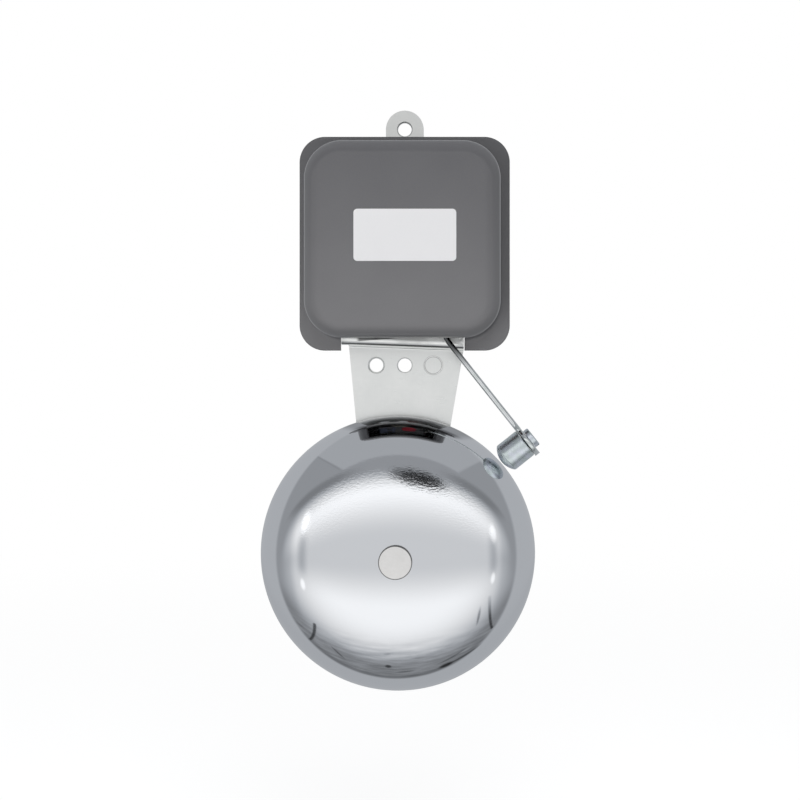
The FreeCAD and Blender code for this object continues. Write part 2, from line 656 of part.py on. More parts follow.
def hammer_wire():
    """Round wire peened into the armature, bent outwards, with a flattened eye at its end."""
    wire = bent_bar(wire_route(), [WIRE_BEND_R], WIRE_D)
    peen = placed(button(WIRE_PEEN_D, WIRE_PEEN, WIRE_PEEN * RIVET_ROUNDING),
                  at(WIRE_X, HAMMER_DEPTH, ARMATURE_TOP), Vec(0, 0, 1))
    past = Vec(head_axis().z, 0, -head_axis().x) * EYE_OFFSET
    eye = Part.makeCylinder(EYE_D / 2, EYE_THICKNESS)
    eye = placed(eye.makeFillet(EYE_EDGE_R, [edge for edge in eye.Edges if edge.Closed]),
                 head_back() + past, head_axis())
    hole = Part.makeCylinder(SCREW_D / 2 + FITTING_GAP, EYE_THICKNESS, head_back(), head_axis())
    return wire.fuse([peen, eye]).removeSplitter().cut(hole)


# ---- Armature and its spring ------------------------------------------------------------------

def armature_rivet_places():
    """Where the spring's lying leg is riveted: one x, two depths."""
    x = ARMATURE_LEFT + SPRING_ALONG - SMALL_RIVET_MARGIN
    return [at(x, COIL_DEPTH + side * SMALL_RIVET_PITCH / 2, ARMATURE_TOP) for side in (-1, 1)]


def yoke_rivet_places():
    """Where the spring's upright leg is riveted: one height, two depths."""
    z = HINGE_Z + SPRING_UP - SMALL_RIVET_MARGIN
    return [at(YOKE_LIMB_X, COIL_DEPTH + side * SMALL_RIVET_PITCH / 2, z) for side in (-1, 1)]


def armature():
    """Flat iron bar under the pole, drilled for the wire and the spring's rivets."""
    front = COIL_DEPTH + ARMATURE_WIDTH / 2
    back = COIL_DEPTH - ARMATURE_WIDTH / 2
    bar = block(ARMATURE_LEFT, ARMATURE_RIGHT, back, front, ARMATURE_BOTTOM, ARMATURE_TOP)
    corners = edges_through(bar, "z", [at(ARMATURE_RIGHT, back, ARMATURE_TOP),
                                       at(ARMATURE_RIGHT, front, ARMATURE_TOP)])
    bar = bar.makeFillet(ARMATURE_CORNER_R, corners)
    holes = [upright(WIRE_X, HAMMER_DEPTH, WIRE_D, ARMATURE_BOTTOM, ARMATURE_TOP)]
    for place in armature_rivet_places():
        holes.append(upright(place.x, -place.y, SMALL_RIVET_D, ARMATURE_BOTTOM, ARMATURE_TOP))
    return bar.cut(holes)


def leaf_spring():
    """Thin strip bent to an L: one leg on the yoke's limb, the other under the armature."""
    back, front = COIL_DEPTH - SPRING_WIDTH / 2, COIL_DEPTH + SPRING_WIDTH / 2
    outer_x, outer_z = YOKE_LEFT - SPRING_SHEET, ARMATURE_BOTTOM - SPRING_SHEET
    top, right = HINGE_Z + SPRING_UP, ARMATURE_LEFT + SPRING_ALONG
    strip = prism([
        at(YOKE_LEFT, back, top), at(outer_x, back, top), at(outer_x, back, outer_z),
        at(right, back, outer_z), at(right, back, ARMATURE_BOTTOM),
        at(YOKE_LEFT, back, ARMATURE_BOTTOM)], Vec(0, back - front, 0))
    strip = strip.makeFillet(SPRING_BEND_R, edges_through(
        strip, "y", [at(YOKE_LEFT, COIL_DEPTH, ARMATURE_BOTTOM)]))
    strip = strip.makeFillet(SPRING_BEND_R + SPRING_SHEET, edges_through(
        strip, "y", [at(outer_x, COIL_DEPTH, outer_z)]))
    holes = []
    for place in armature_rivet_places():
        holes.append(upright(place.x, -place.y, SMALL_RIVET_D, outer_z, ARMATURE_BOTTOM))
    for place in yoke_rivet_places():
        holes.append(Part.makeCylinder(SMALL_RIVET_D / 2, YOKE_SHEET + PAST, place, Vec(-1, 0, 0)))
    return strip.cut(Part.makeCompound(holes))


def spring_armature_rivets():
    """Two rivets from the armature's top down through the spring."""
    grip = ARMATURE_THICKNESS + SPRING_SHEET
    rivets = [rivet(place, Vec(0, 0, -1), SMALL_RIVET_D, grip, SMALL_RIVET_HEAD_D,
                    SMALL_RIVET_HEAD) for place in armature_rivet_places()]
    return Part.makeCompound(rivets)


def spring_frame_rivets():
    """Two rivets from the limb's inner face out through the spring."""
    grip = YOKE_SHEET + SPRING_SHEET
    rivets = [rivet(place, Vec(-1, 0, 0), SMALL_RIVET_D, grip, SMALL_RIVET_HEAD_D,
                    SMALL_RIVET_HEAD) for place in yoke_rivet_places()]
    return Part.makeCompound(rivets)


# ---- Magnet -----------------------------------------------------------------------------------

def frame_rivet_places():
    """Where the yoke's two feet are riveted to the pad: (x, z)."""
    return [(YOKE_LEFT - FOOT_LENGTH / 2, FOOT_Z), (CORE_X, YOKE_TOP + FOOT_LENGTH / 2)]


def yoke():
    """Iron strip bent to an L over the coil, with one foot at the side and one above."""
    limb = block(YOKE_LEFT, YOKE_LIMB_X, YOKE_BACK, YOKE_FRONT, YOKE_BOTTOM, YOKE_TOP)
    right = CORE_X + CORE_D / 2 + YOKE_END
    over = block(YOKE_LEFT, right, YOKE_BACK, YOKE_FRONT, COIL_TOP, YOKE_TOP)
    angle = limb.fuse(over).removeSplitter()
    angle = angle.makeFillet(YOKE_BEND_R + YOKE_SHEET, edges_through(
        angle, "y", [at(YOKE_LEFT, COIL_DEPTH, YOKE_TOP)]))
    angle = angle.makeFillet(YOKE_BEND_R, edges_through(
        angle, "y", [at(YOKE_LIMB_X, COIL_DEPTH, COIL_TOP)]))
    return angle.fuse([side_foot(), top_foot()]).removeSplitter().cut(yoke_holes())


def side_foot():
    """The foot bent outwards from the limb's rear edge."""
    low, high = FOOT_Z - FOOT_WIDTH / 2, FOOT_Z + FOOT_WIDTH / 2
    web = block(YOKE_LEFT, YOKE_LIMB_X, PAD_FRONT, YOKE_BACK + YOKE_SHEET, low, high)
    toe = block(YOKE_LEFT - FOOT_LENGTH, YOKE_LEFT, PAD_FRONT, FOOT_FRONT, low, high)
    foot = web.fuse(toe).removeSplitter()
    foot = foot.makeFillet(YOKE_BEND_R + YOKE_SHEET, edges_through(
        foot, "z", [at(YOKE_LIMB_X, PAD_FRONT, FOOT_Z)]))
    return foot.makeFillet(YOKE_BEND_R, edges_through(foot, "z", [at(YOKE_LEFT, FOOT_FRONT, FOOT_Z)]))


def top_foot():
    """The foot bent upwards from the top limb's rear edge."""
    left, right = CORE_X - FOOT_WIDTH / 2, CORE_X + FOOT_WIDTH / 2
    web = block(left, right, PAD_FRONT, YOKE_BACK + YOKE_SHEET, COIL_TOP, YOKE_TOP)
    toe = block(left, right, PAD_FRONT, FOOT_FRONT, YOKE_TOP, YOKE_TOP + FOOT_LENGTH)
    foot = web.fuse(toe).removeSplitter()
    foot = foot.makeFillet(YOKE_BEND_R + YOKE_SHEET, edges_through(
        foot, "x", [at(CORE_X, PAD_FRONT, COIL_TOP)]))
    return foot.makeFillet(YOKE_BEND_R, edges_through(foot, "x", [at(CORE_X, FOOT_FRONT, YOKE_TOP)]))


def yoke_holes():
    """Cutters for the core's tail, the foot rivets and the spring's rivets."""
    holes = [upright(CORE_X, COIL_DEPTH, CORE_TAIL_D, COIL_TOP - PAST, YOKE_TOP + PAST)]
    for x, z in frame_rivet_places():
        holes.append(peg(x, z, FRAME_RIVET_D, PAD_FRONT - PAST, FOOT_FRONT + PAST))
    for place in yoke_rivet_places():
        holes.append(Part.makeCylinder(SMALL_RIVET_D / 2, YOKE_SHEET, place, Vec(-1, 0, 0)))
    return holes


def core():
    """Round iron pole: its tail passes through the yoke and is riveted over."""
    pole = upright(CORE_X, COIL_DEPTH, CORE_D, POLE_FACE, COIL_TOP)
    tail = upright(CORE_X, COIL_DEPTH, CORE_TAIL_D, COIL_TOP, YOKE_TOP)
    head = placed(button(CORE_TAIL_HEAD_D, CORE_TAIL_HEAD, CORE_TAIL_HEAD * RIVET_ROUNDING),
                  at(CORE_X, COIL_DEPTH, YOKE_TOP), Vec(0, 0, 1))
    return pole.fuse([tail, head]).removeSplitter()


def coil_bobbin():
    """Moulded spool: a tube with a flange at each end."""
    tube_d = CORE_D + 2 * FITTING_GAP + 2 * BOBBIN_WALL
    tube = upright(CORE_X, COIL_DEPTH, tube_d, COIL_BOTTOM, COIL_TOP)
    low = upright(CORE_X, COIL_DEPTH, FLANGE_D, COIL_BOTTOM, COIL_BOTTOM + FLANGE)
    high = upright(CORE_X, COIL_DEPTH, FLANGE_D, COIL_TOP - FLANGE, COIL_TOP)
    bore = upright(CORE_X, COIL_DEPTH, CORE_D + 2 * FITTING_GAP, COIL_BOTTOM, COIL_TOP)
    return tube.fuse([low, high]).removeSplitter().cut(bore)


def ring_between_flanges(outer_d, inner_d):
    """A tube that fills the spool between its flanges, from one diameter to another."""
    low, high = COIL_BOTTOM + FLANGE, COIL_TOP - FLANGE
    outer = upright(CORE_X, COIL_DEPTH, outer_d, low, high)
    return outer.cut(upright(CORE_X, COIL_DEPTH, inner_d, low, high))


def coil_winding():
    """The enamelled copper wire, as one closed ring."""
    return ring_between_flanges(WINDING_D, CORE_D + 2 * FITTING_GAP + 2 * BOBBIN_WALL)


def coil_tape():
    """The tape wrapped round the winding."""
    return ring_between_flanges(WINDING_D + 2 * TAPE, WINDING_D)


def frame_rivets():
    """Two rivets that hold the yoke's feet to the pad."""
    grip = SHEET + YOKE_SHEET
    rivets = [rivet(at(x, PAD_RISE, z), Vec(0, -1, 0), FRAME_RIVET_D, grip, FRAME_RIVET_HEAD_D,
                    FRAME_RIVET_HEAD) for x, z in frame_rivet_places()]
    return Part.makeCompound(rivets)


# ---- Terminals and leads ----------------------------------------------------------------------

def terminal_heights():
    """Heights of the two terminals, lower first."""
    return [BLOCK_Z - TERMINAL_PITCH / 2, BLOCK_Z + TERMINAL_PITCH / 2]


def terminal_block():
    """Moulded strip with a tower over each terminal and a low waist for its fixing screw."""
    left, right = BLOCK_X - BLOCK_WIDTH / 2, BLOCK_X + BLOCK_WIDTH / 2
    low, high = BLOCK_Z - BLOCK_LENGTH / 2, BLOCK_Z + BLOCK_LENGTH / 2
    body = block(left, right, PAD_FRONT, PAD_FRONT + BLOCK_WAIST, low, high)
    towers = []
    for z in terminal_heights():
        towers.append(block(left, right, PAD_FRONT, BLOCK_FRONT,
                            z - TOWER_LENGTH / 2, z + TOWER_LENGTH / 2))
    body = body.fuse(towers).removeSplitter()
    body = body.makeFillet(BLOCK_EDGE_R, edges_at(body, BLOCK_FRONT))
    cuts = [peg(BLOCK_X, BLOCK_Z, BLOCK_SCREW_D + 2 * FITTING_GAP, PAD_FRONT, BLOCK_FRONT)]
    for z in terminal_heights():
        cuts.append(Part.makeCylinder(BARREL_D / 2 + FITTING_GAP / 2, BLOCK_WIDTH,
                                      at(left, BARREL_DEPTH, z), Vec(1, 0, 0)))
        cuts.append(peg(BLOCK_X, z, TERMINAL_SCREW_HEAD_D + DRIVER_WAY,
                        BARREL_DEPTH, BLOCK_FRONT + PAST))
    return body.cut(cuts)


def terminal_clamps():
    """Two brass barrels, each bored along X for the wires and tapped from the front."""
    clamps = []
    for z in terminal_heights():
        start = at(BLOCK_X - BARREL_LENGTH / 2, BARREL_DEPTH, z)
        barrel = Part.makeCylinder(BARREL_D / 2, BARREL_LENGTH, start, Vec(1, 0, 0))
        bore = Part.makeCylinder(BARREL_BORE / 2, BARREL_LENGTH, start, Vec(1, 0, 0))
        tapped = peg(BLOCK_X, z, TERMINAL_SCREW_D, BARREL_DEPTH, BARREL_DEPTH + BARREL_D)
        clamps.append(barrel.cut([bore, tapped]))
    return Part.makeCompound(clamps)


def slotted_screw(diameter, length, head_d, head):
    """A cheese-head screw on the origin: shank down -Z, head up +Z, slotted across."""
    top = button(head_d, head, head * DRIVER_HEAD_ROUNDING)
    slot = Part.makeBox(2 * head_d, DRIVER_SLOT, head,
                        Vec(-head_d, -DRIVER_SLOT / 2, head / 2))
    shank = Part.makeCylinder(diameter / 2, length, Vec(0, 0, -length))
    return top.fuse(shank).removeSplitter().cut(slot)


def terminal_screws():
    """Two screws whose tips press on the leads."""
    seat = BARREL_DEPTH + BARREL_D / 2 + TERMINAL_SCREW_RISE
    tip = LEAD_END_DEPTH + LEAD_D / 2 + TOUCH
    screws = []
    for z in terminal_heights():
        screw = slotted_screw(TERMINAL_SCREW_D, seat - tip, TERMINAL_SCREW_HEAD_D,
                              TERMINAL_SCREW_HEAD)
        screws.append(placed(screw, at(BLOCK_X, seat, z), Vec(0, -1, 0)))
    return Part.makeCompound(screws)


def block_screw():
    """The screw that holds the terminal block to the pad."""
    length = BLOCK_WAIST + SHEET + BLOCK_SCREW_TIP
    screw = slotted_screw(BLOCK_SCREW_D, length, BLOCK_SCREW_HEAD_D, BLOCK_SCREW_HEAD)
    return placed(screw, at(BLOCK_X, PAD_FRONT + BLOCK_WAIST, BLOCK_Z), Vec(0, -1, 0))


def coil_lead(side):
    """An insulated lead from the coil's side into a terminal; side is 1 above, -1 below."""
    z = LEAD_MIDDLE_Z + side * LEAD_SPREAD / 2
    end_z = BLOCK_Z + side * TERMINAL_PITCH / 2
    start_x = CORE_X + WINDING_D / 2 + TAPE + TOUCH
    mouth_x = BLOCK_X - BARREL_LENGTH / 2
    route = [at(start_x, COIL_DEPTH, z), at(start_x + LEAD_RUN, COIL_DEPTH, z),
             at(mouth_x - LEAD_RUN, LEAD_END_DEPTH, end_z),
             at(BLOCK_X + LEAD_D, LEAD_END_DEPTH, end_z)]
    return bent_bar(route, [LEAD_BEND_R, LEAD_BEND_R], LEAD_D)


def coil_lead_upper():
    return coil_lead(1)


def coil_lead_lower():
    return coil_lead(-1)


def cable_grommet():
    """Rubber ring in the pad's cable hole, with a lip on each side of the sheet."""
    neck = peg(BLOCK_X, GROMMET_Z, GROMMET_HOLE_D, PAD_RISE, PAD_FRONT)
    lips = []
    for seat, way in ((PAD_RISE, 1), (PAD_FRONT, -1)):
        lip = button(GROMMET_LIP_D, GROMMET_LIP, GROMMET_LIP_R)
        lips.append(placed(lip, at(BLOCK_X, seat, GROMMET_Z), Vec(0, way, 0)))
    ring = neck.fuse(lips).removeSplitter()
    return ring.cut(peg(BLOCK_X, GROMMET_Z, GROMMET_BORE, 0, PAD_FRONT + 2 * GROMMET_LIP))


# ---- Output -----------------------------------------------------------------------------------

PIECES = [
    base_plate, knockout_disc, cover, label, gong, gong_post, gong_washer, gong_rivet,
    hammer_head, hammer_screw, hammer_wire, armature, leaf_spring, spring_armature_rivets,
    spring_frame_rivets, yoke, core, coil_bobbin, coil_winding, coil_tape, frame_rivets,
    terminal_block, terminal_clamps, terminal_screws, block_screw, coil_lead_upper,
    coil_lead_lower, cable_grommet,
]

os.makedirs("parts", exist_ok=True)
for piece in PIECES:
    shape = piece()
    solids = shape.Solids
    if len(solids) == 1:
        shape = solids[0]
    shape.exportStep("parts/" + piece.__name__ + ".step")
    size = shape.optimalBoundingBox(False)
    print("%-24s solids %d valid %s volume %.1f size %.2f x %.2f x %.2f" % (
        piece.__name__, len(solids), shape.isValid(), shape.Volume,
        size.XLength, size.YLength, size.ZLength))
print("hinge line at x %.2f, z %.2f mm" % (HINGE_X, HINGE_Z))
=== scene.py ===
# %% [markdown]
# # A wall bell with one gong
#
# The bell is a grey steel box with an electromagnet in it, a bright zinc plate that goes on the
# wall, a chromed gong, and a wire hammer that comes out of the box and hangs beside the gong.
# Its engineering model is loaded first. It fixes every size and says which pieces move together.
# This notebook then gives the pieces their real surfaces: six get a new, finer mesh, and every
# one gets a finish built from shader nodes.

# %% Load the engineering model
import json
import math

import bmesh
import bpy
import numpy as np
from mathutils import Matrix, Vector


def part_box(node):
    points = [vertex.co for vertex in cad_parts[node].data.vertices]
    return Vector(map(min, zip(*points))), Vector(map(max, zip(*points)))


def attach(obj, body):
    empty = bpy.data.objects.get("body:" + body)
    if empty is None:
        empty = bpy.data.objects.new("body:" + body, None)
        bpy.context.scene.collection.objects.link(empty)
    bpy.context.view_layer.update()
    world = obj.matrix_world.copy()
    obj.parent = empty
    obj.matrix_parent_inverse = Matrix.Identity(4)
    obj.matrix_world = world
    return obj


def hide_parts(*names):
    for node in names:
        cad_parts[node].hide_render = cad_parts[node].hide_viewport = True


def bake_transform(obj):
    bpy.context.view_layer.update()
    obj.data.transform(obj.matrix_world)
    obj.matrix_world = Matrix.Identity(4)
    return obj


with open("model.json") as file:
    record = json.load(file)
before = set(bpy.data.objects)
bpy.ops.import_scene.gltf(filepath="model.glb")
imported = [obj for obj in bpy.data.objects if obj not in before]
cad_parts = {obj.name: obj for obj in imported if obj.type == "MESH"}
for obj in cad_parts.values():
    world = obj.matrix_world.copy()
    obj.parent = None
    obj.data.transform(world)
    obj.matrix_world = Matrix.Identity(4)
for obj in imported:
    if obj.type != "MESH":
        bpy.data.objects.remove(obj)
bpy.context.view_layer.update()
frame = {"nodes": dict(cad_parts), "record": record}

MM = 0.001
nodes = frame["nodes"]

# %% [markdown]
# The model's own boxes say where each piece is, so few places have to be typed in. Lengths are
# in millimetres here, and become metres only when they go into a mesh. X runs to the right, Z up,
# and the wall is the plane y = 0, with the bell in front of it on the -Y side. A depth is how far
# something stands in front of the wall, so it is -y.


# %% Where the pieces are
def span(node):
    """Lowest corner, highest corner and middle of a piece of the model, in millimetres."""
    low, high = (np.array(corner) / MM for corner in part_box(node))
    return low, high, (low + high) / 2


gong_low, gong_high, gong_middle = span("gong")
GONG_R = (gong_high[0] - gong_low[0]) / 2
RIM_DEPTH, APEX_DEPTH = -gong_high[1], -gong_low[1]
print("gong radius %.2f, rim at depth %.2f, apex at %.2f" % (GONG_R, RIM_DEPTH, APEX_DEPTH))

# %% [markdown]
# ## The camera
#
# The bell is seen from straight in front, by a camera forty centimetres away and level
# with the lower part of the box. A longer lens further back would flatten the picture: the box,
# which stands well in front of the wall plate, would then look no bigger than it is. The small
# shift frames the bell without tilting the camera, so upright edges stay upright.


# %% Place the camera
def new_object(name, data):
    """A new object in the scene, with this data."""
    made = bpy.data.objects.new(name, data)
    bpy.context.scene.collection.objects.link(made)
    return made


CAMERA_X, CAMERA_DEPTH, CAMERA_Z = 14.4, 402, -28.7
SENSOR, LENS, SHIFT_X, SHIFT_Y = 36, 65.4, -0.0713, -0.0606
camera = new_object("camera", bpy.data.cameras.new("camera"))
camera.location = (CAMERA_X * MM, -CAMERA_DEPTH * MM, CAMERA_Z * MM)
camera.rotation_euler = (math.radians(90), 0, 0)
camera.data.sensor_width, camera.data.lens = SENSOR, LENS
camera.data.shift_x, camera.data.shift_y = SHIFT_X, SHIFT_Y
camera.data.clip_start = 0.01
bpy.context.scene.camera = camera
print("camera", CAMERA_DEPTH, "mm from the wall, with a lens of", LENS, "mm")

# %% [markdown]
# ## Writing shader maths as plain sums
#
# A finish is a network of nodes. Most of them are small sums, such as "one minus the mask", and
# a network of fifty boxes is hard to read. So a socket is wrapped in a class whose + - * / **
# add the Math node for us, and one method makes every other kind of node.


# %% Sockets that can be added up
class Wire:
    """An output socket. Each arithmetic operator on it adds one Math node to the same tree."""

    def __init__(self, tree, socket):
        self.tree, self.socket = tree, socket

    def __add__(self, other):
        return self.tree.math("ADD", self, other)

    def __sub__(self, other):
        return self.tree.math("SUBTRACT", self, other)

    def __rsub__(self, other):
        return self.tree.math("SUBTRACT", other, self)

    def __mul__(self, other):
        return self.tree.math("MULTIPLY", self, other)

    def __truediv__(self, other):
        return self.tree.math("DIVIDE", self, other)

    def __pow__(self, other):
        return self.tree.math("POWER", self, other)

    def __abs__(self):
        return self.tree.math("ABSOLUTE", self)

    __radd__, __rmul__ = __add__, __mul__


# %% [markdown]
# A `Tree` holds the nodes of one material. Its `node` method makes any node, and the others are
# short names for those that nearly every finish needs.


# %% A tree of nodes
class Tree:
    """The nodes of one material or of the world, emptied and ready to be built."""

    def __init__(self, owner):
        owner.use_nodes = True
        self.nodes, self.links = owner.node_tree.nodes, owner.node_tree.links
        self.nodes.clear()

    def node(self, kind, settings=None, inputs=None, output=0):
        """Any node: its type, its settings, then a value or a Wire for each socket."""
        made = self.nodes.new(kind)
        for name, value in (settings or {}).items():
            setattr(made, name, value)
        pairs = enumerate(inputs) if isinstance(inputs, list) else (inputs or {}).items()
        for key, value in pairs:
            if isinstance(value, Wire):
                self.links.new(value.socket, made.inputs[key])
            else:
                made.inputs[key].default_value = value
        return Wire(self, made.outputs[output]) if made.outputs else made

    def math(self, operation, left, right=0.0):
        """One Math node on two numbers or wires."""
        return self.node("ShaderNodeMath", {"operation": operation}, [left, right])

    def split(self, vector):
        """The three parts of a vector, each as a Wire."""
        outputs = self.node("ShaderNodeSeparateXYZ", None, [vector]).socket.node.outputs
        return [Wire(self, part) for part in outputs]

    def fade(self, value, low, high):
        """0 below low, 1 above high, and an S-shaped rise between; high may be the lower one."""
        return self.node("ShaderNodeMapRange", {"interpolation_type": "SMOOTHSTEP"},
                         {"Value": value, "From Min": low, "From Max": high})

    def blend(self, share, first, second):
        """A colour between two colours."""
        return self.node("ShaderNodeMix", {"data_type": "RGBA"},
                         {0: share, 6: first, 7: second}, 2)

    def place(self, stretch=(1, 1, 1), turn=(0, 0, 0)):
        """A point's place on the piece, in millimetres, stretched and turned for a pattern."""
        here = self.node("ShaderNodeTexCoord", output="Object")
        scale = tuple(share / MM for share in stretch)
        return self.node("ShaderNodeMapping", None,
                         {"Vector": here, "Rotation": turn, "Scale": scale})

    def noise(self, where, size, detail=2.0, rough=0.5):
        """Soft random blotches about `size` millimetres wide, from 0 to 1."""
        return self.node("ShaderNodeTexNoise", {"noise_dimensions": "3D"},
                         {"Vector": where, "Scale": 1 / size, "Detail": detail,
                          "Roughness": rough})

    def bump(self, height, depth, under=None):
        """Turn a height from 0 to 1 into a relief `depth` millimetres deep."""
        inputs = {"Height": height, "Distance": depth * MM, "Strength": 1.0}
        if under is not None:
            inputs["Normal"] = under
        return self.node("ShaderNodeBump", None, inputs)


# %% [markdown]
# Three small helpers come up again and again: a colour, a diagonal and a mixture.


# %% Colours, diagonals and mixtures
def rgb(red, green, blue):
    """A colour with full cover, as a socket takes it."""
    return (red, green, blue, 1.0)


def diagonal(one, other):
    """The length of a diagonal over two sides: the root of the sum of their squares."""
    return (one ** 2 + other ** 2) ** 0.5


def mixed(share, first, second):
    """A number between two numbers or wires: first + share * (second - first)."""
    return first + share * (second - first)


# %% [markdown]
# ## The studio
#
# Polished chrome shows nothing of itself. What we see on the gong is the room: a wide bright
# window of soft light in front, crossed by a greyer gap, and a ceiling, walls and a dark table
# round it. A sky with only one colour would make the gong look like flat paint. So the world is
# a small painted studio, and every metal piece mirrors it.
#
# A direction is flattened to a plane by u = x / (1 - y) and v = z / (1 - y), as a mirror ball
# does it: the middle is straight out of the wall, and distance 1 is sideways. The sum uses 1.002
# for 1, so that it never divides by zero. Each thing in the room is a soft-edged shape on that
# plane. Camera rays see plain white instead.

# %% Find the studio plane
world = bpy.data.worlds.new("studio")
bpy.context.scene.world = world
sky = Tree(world)
aim_x, aim_y, aim_z = sky.split(sky.node("ShaderNodeTexCoord", output="Generated"))
flat = 1.002 - aim_y
u, v = aim_x / flat, aim_z / flat
u_squared = u * u


def reach(across, up, half_across, half_up):
    """How far a direction is from the middle of an ellipse: 1 on its edge, less inside it.

    It is the diagonal over the two distances from the middle, each divided by its half axis.
    """
    return diagonal((u - across) / half_across, (v - up) / half_up)


def turned_reach(across, up, half_across, half_up, turn):
    """The same for an ellipse turned by an angle: the two distances are turned with it first."""
    along = (u - across) * math.cos(turn) + (v - up) * math.sin(turn)
    aside = (v - up) * math.cos(turn) - (u - across) * math.sin(turn)
    return diagonal(along / half_across, aside / half_up)


print("the studio plane takes", len(sky.nodes), "nodes")

# %% [markdown]
# First the room without its window: side walls, a ceiling whose corner lines run off diagonally
# and whose near edge curves over the window, a darker table below, and the even grey beyond
# them. The corner line at the left has a thin dark seam.

# %% Paint the room
WALLS, CEILING, TABLE, BEYOND = 0.352, 0.45, 0.265, 0.475
ROOM_U, ROOM_V, ROOM_HALF, ROOM_UP, ROOM_DOWN = -0.045, -0.06, 0.83, 1.5, 0.93
corner_lines = v - 0.12 - 0.83 * abs(u)
near_edge = v - 0.465 + 0.9 * u_squared
over = sky.math("MINIMUM", corner_lines, near_edge)
room = mixed(sky.fade(over, -0.015, 0.015), WALLS, CEILING)
room = mixed(sky.fade(v, -0.24, -0.44), room, TABLE)
seam = sky.fade(abs(corner_lines), 0.014, 0.004) * sky.fade(u, -0.28, -0.34)
room = room * (1 - 0.20 * seam)
room_end = mixed(sky.fade(v, -0.07, -0.05), reach(ROOM_U, ROOM_V, ROOM_HALF, ROOM_DOWN),
                 reach(ROOM_U, ROOM_V, ROOM_HALF, ROOM_UP))
room = mixed(sky.fade(room_end, 0.95, 1.06), room, BEYOND + 0.035 * sky.fade(v, -0.9, -0.3))
print("the room has", len(sky.nodes), "nodes")

# %% [markdown]
# The window is brightest in two bands, above and below the camera, with a greyer gap between.
# Its upper edge is fairly crisp and its lower edge fades out slowly, so the two halves have an
# ellipse each. The upper band bends down a little at the sides. Two darker arcs mark the
# window's posts, with four small bright spots beside them. Just outside the window's upper
# corners the wall is a shade darker.

# %% Light the window
UPPER_HALF, LOWER_HALF = (-0.03, -0.13, 0.68, 0.44), (-0.03, -0.10, 0.72, 0.54)
GAP, ABOVE, BELOW, SPOT = 0.725, 0.50, 0.41, 0.35
SPOTS = ((-0.475, 0.10, 0.035, 0.060), (0.465, 0.045, 0.030, 0.050),
         (-0.48, -0.21, 0.022, 0.030), (0.455, -0.18, 0.020, 0.030))
upper_reach, lower_reach = reach(*UPPER_HALF), reach(*LOWER_HALF)
window = mixed(sky.fade(v, -0.02, -0.25), sky.fade(upper_reach, 1.09, 0.77),
               sky.fade(lower_reach, 1.15, 0.38))
band_above = sky.fade(v + 0.4 * u_squared, 0.02, 0.23)
band_below = sky.fade(v, -0.08, -0.26)
inside = GAP + ABOVE * band_above + BELOW * band_below
inside = inside * (1 - 0.22 * sky.fade(abs(u + 0.03), 0.50, 0.60))
posts = sky.fade(abs(abs(u + 0.01) - 0.465), 0.065, 0.0) * sky.fade(abs(v + 0.06), 0.13, 0.05)
corners = sky.fade(abs(upper_reach - 1.10), 0.13, 0.03) * sky.fade(abs(u), 0.15, 0.34)
corners = corners * sky.fade(v, 0.10, 0.22) * sky.fade(v, 0.44, 0.36)
level = mixed(window, room * (1 - 0.30 * corners), inside * (1 - 0.30 * posts))
for spot in SPOTS:
    level = level + SPOT * sky.fade(reach(*spot), 1.3, 0.5)
print("with its window it has", len(sky.nodes))

# %% [markdown]
# A lamp arm with a ragged edge stands in front of the upper band, and dark tools lie on the table.


# %% Add the lamp arm and the tools
def plane_noise(across, up, scale, detail, rough):
    """Blotches from 0 to 1 on the studio plane, with u and v multiplied by across and up."""
    where = sky.node("ShaderNodeCombineXYZ", None, [u * across, v * up, 0.0])
    return sky.node("ShaderNodeTexNoise", None, {"Vector": where, "Scale": scale,
                                                 "Detail": detail, "Roughness": rough})


ARM_U, ARM_V, ARM_HALF_U, ARM_HALF_V, ARM_FALL = 0.080, 0.285, 0.105, 0.040, 0.20
arm_reach = diagonal((u - ARM_U) / ARM_HALF_U,
                     (v + ARM_FALL * (u - ARM_U) - ARM_V) / ARM_HALF_V)
ragged = 1.8 * (plane_noise(1.0, 2.2, 46.0, 2.0, 0.5) - 0.5)
level = level * (1 - 0.97 * sky.fade(arm_reach + ragged, 1.40, 0.95))

# Each tool: across, up, half width, half height, darkness and turn in radians.
TOOLS = ((0.29, -0.830, 0.050, 0.045, 0.80, 0.5), (0.41, -0.790, 0.150, 0.024, 0.55, 0.32),
         (0.31, -0.700, 0.100, 0.014, 0.45, 0.55), (-0.37, -0.650, 0.010, 0.060, 0.55, 0.45),
         (-0.075, -0.700, 0.018, 0.026, 0.75, 0.0), (0.39, -0.380, 0.010, 0.060, 0.55, 0.1),
         (0.02, -0.800, 0.060, 0.018, 0.45, 0.2), (-0.07, -0.545, 0.020, 0.010, 0.20, 0.5))
for *ellipse, darkness, turn in TOOLS:
    level = level * (1 - darkness * sky.fade(turned_reach(*ellipse, turn), 1.35, 0.55))
print("with the arm and", len(TOOLS), "tools it has", len(sky.nodes))

# %% [markdown]
# Two thin stands curve out at the sides. The table's far edge is dark, and streaks break its
# evenness.


# %% Add the stands and the streaks
def off_stand(at_u, at_v, lean, bend, top_from, top_to):
    """How far sideways a direction is from a thin bent stand, and far off past its top.

    The stand runs along u = at_u + lean * rise + bend * rise^2, where rise is v - at_v.
    """
    rise = v - at_v
    return (abs(u - at_u - lean * rise - bend * rise ** 2)
            + 0.5 * sky.fade(v, top_from, top_to))


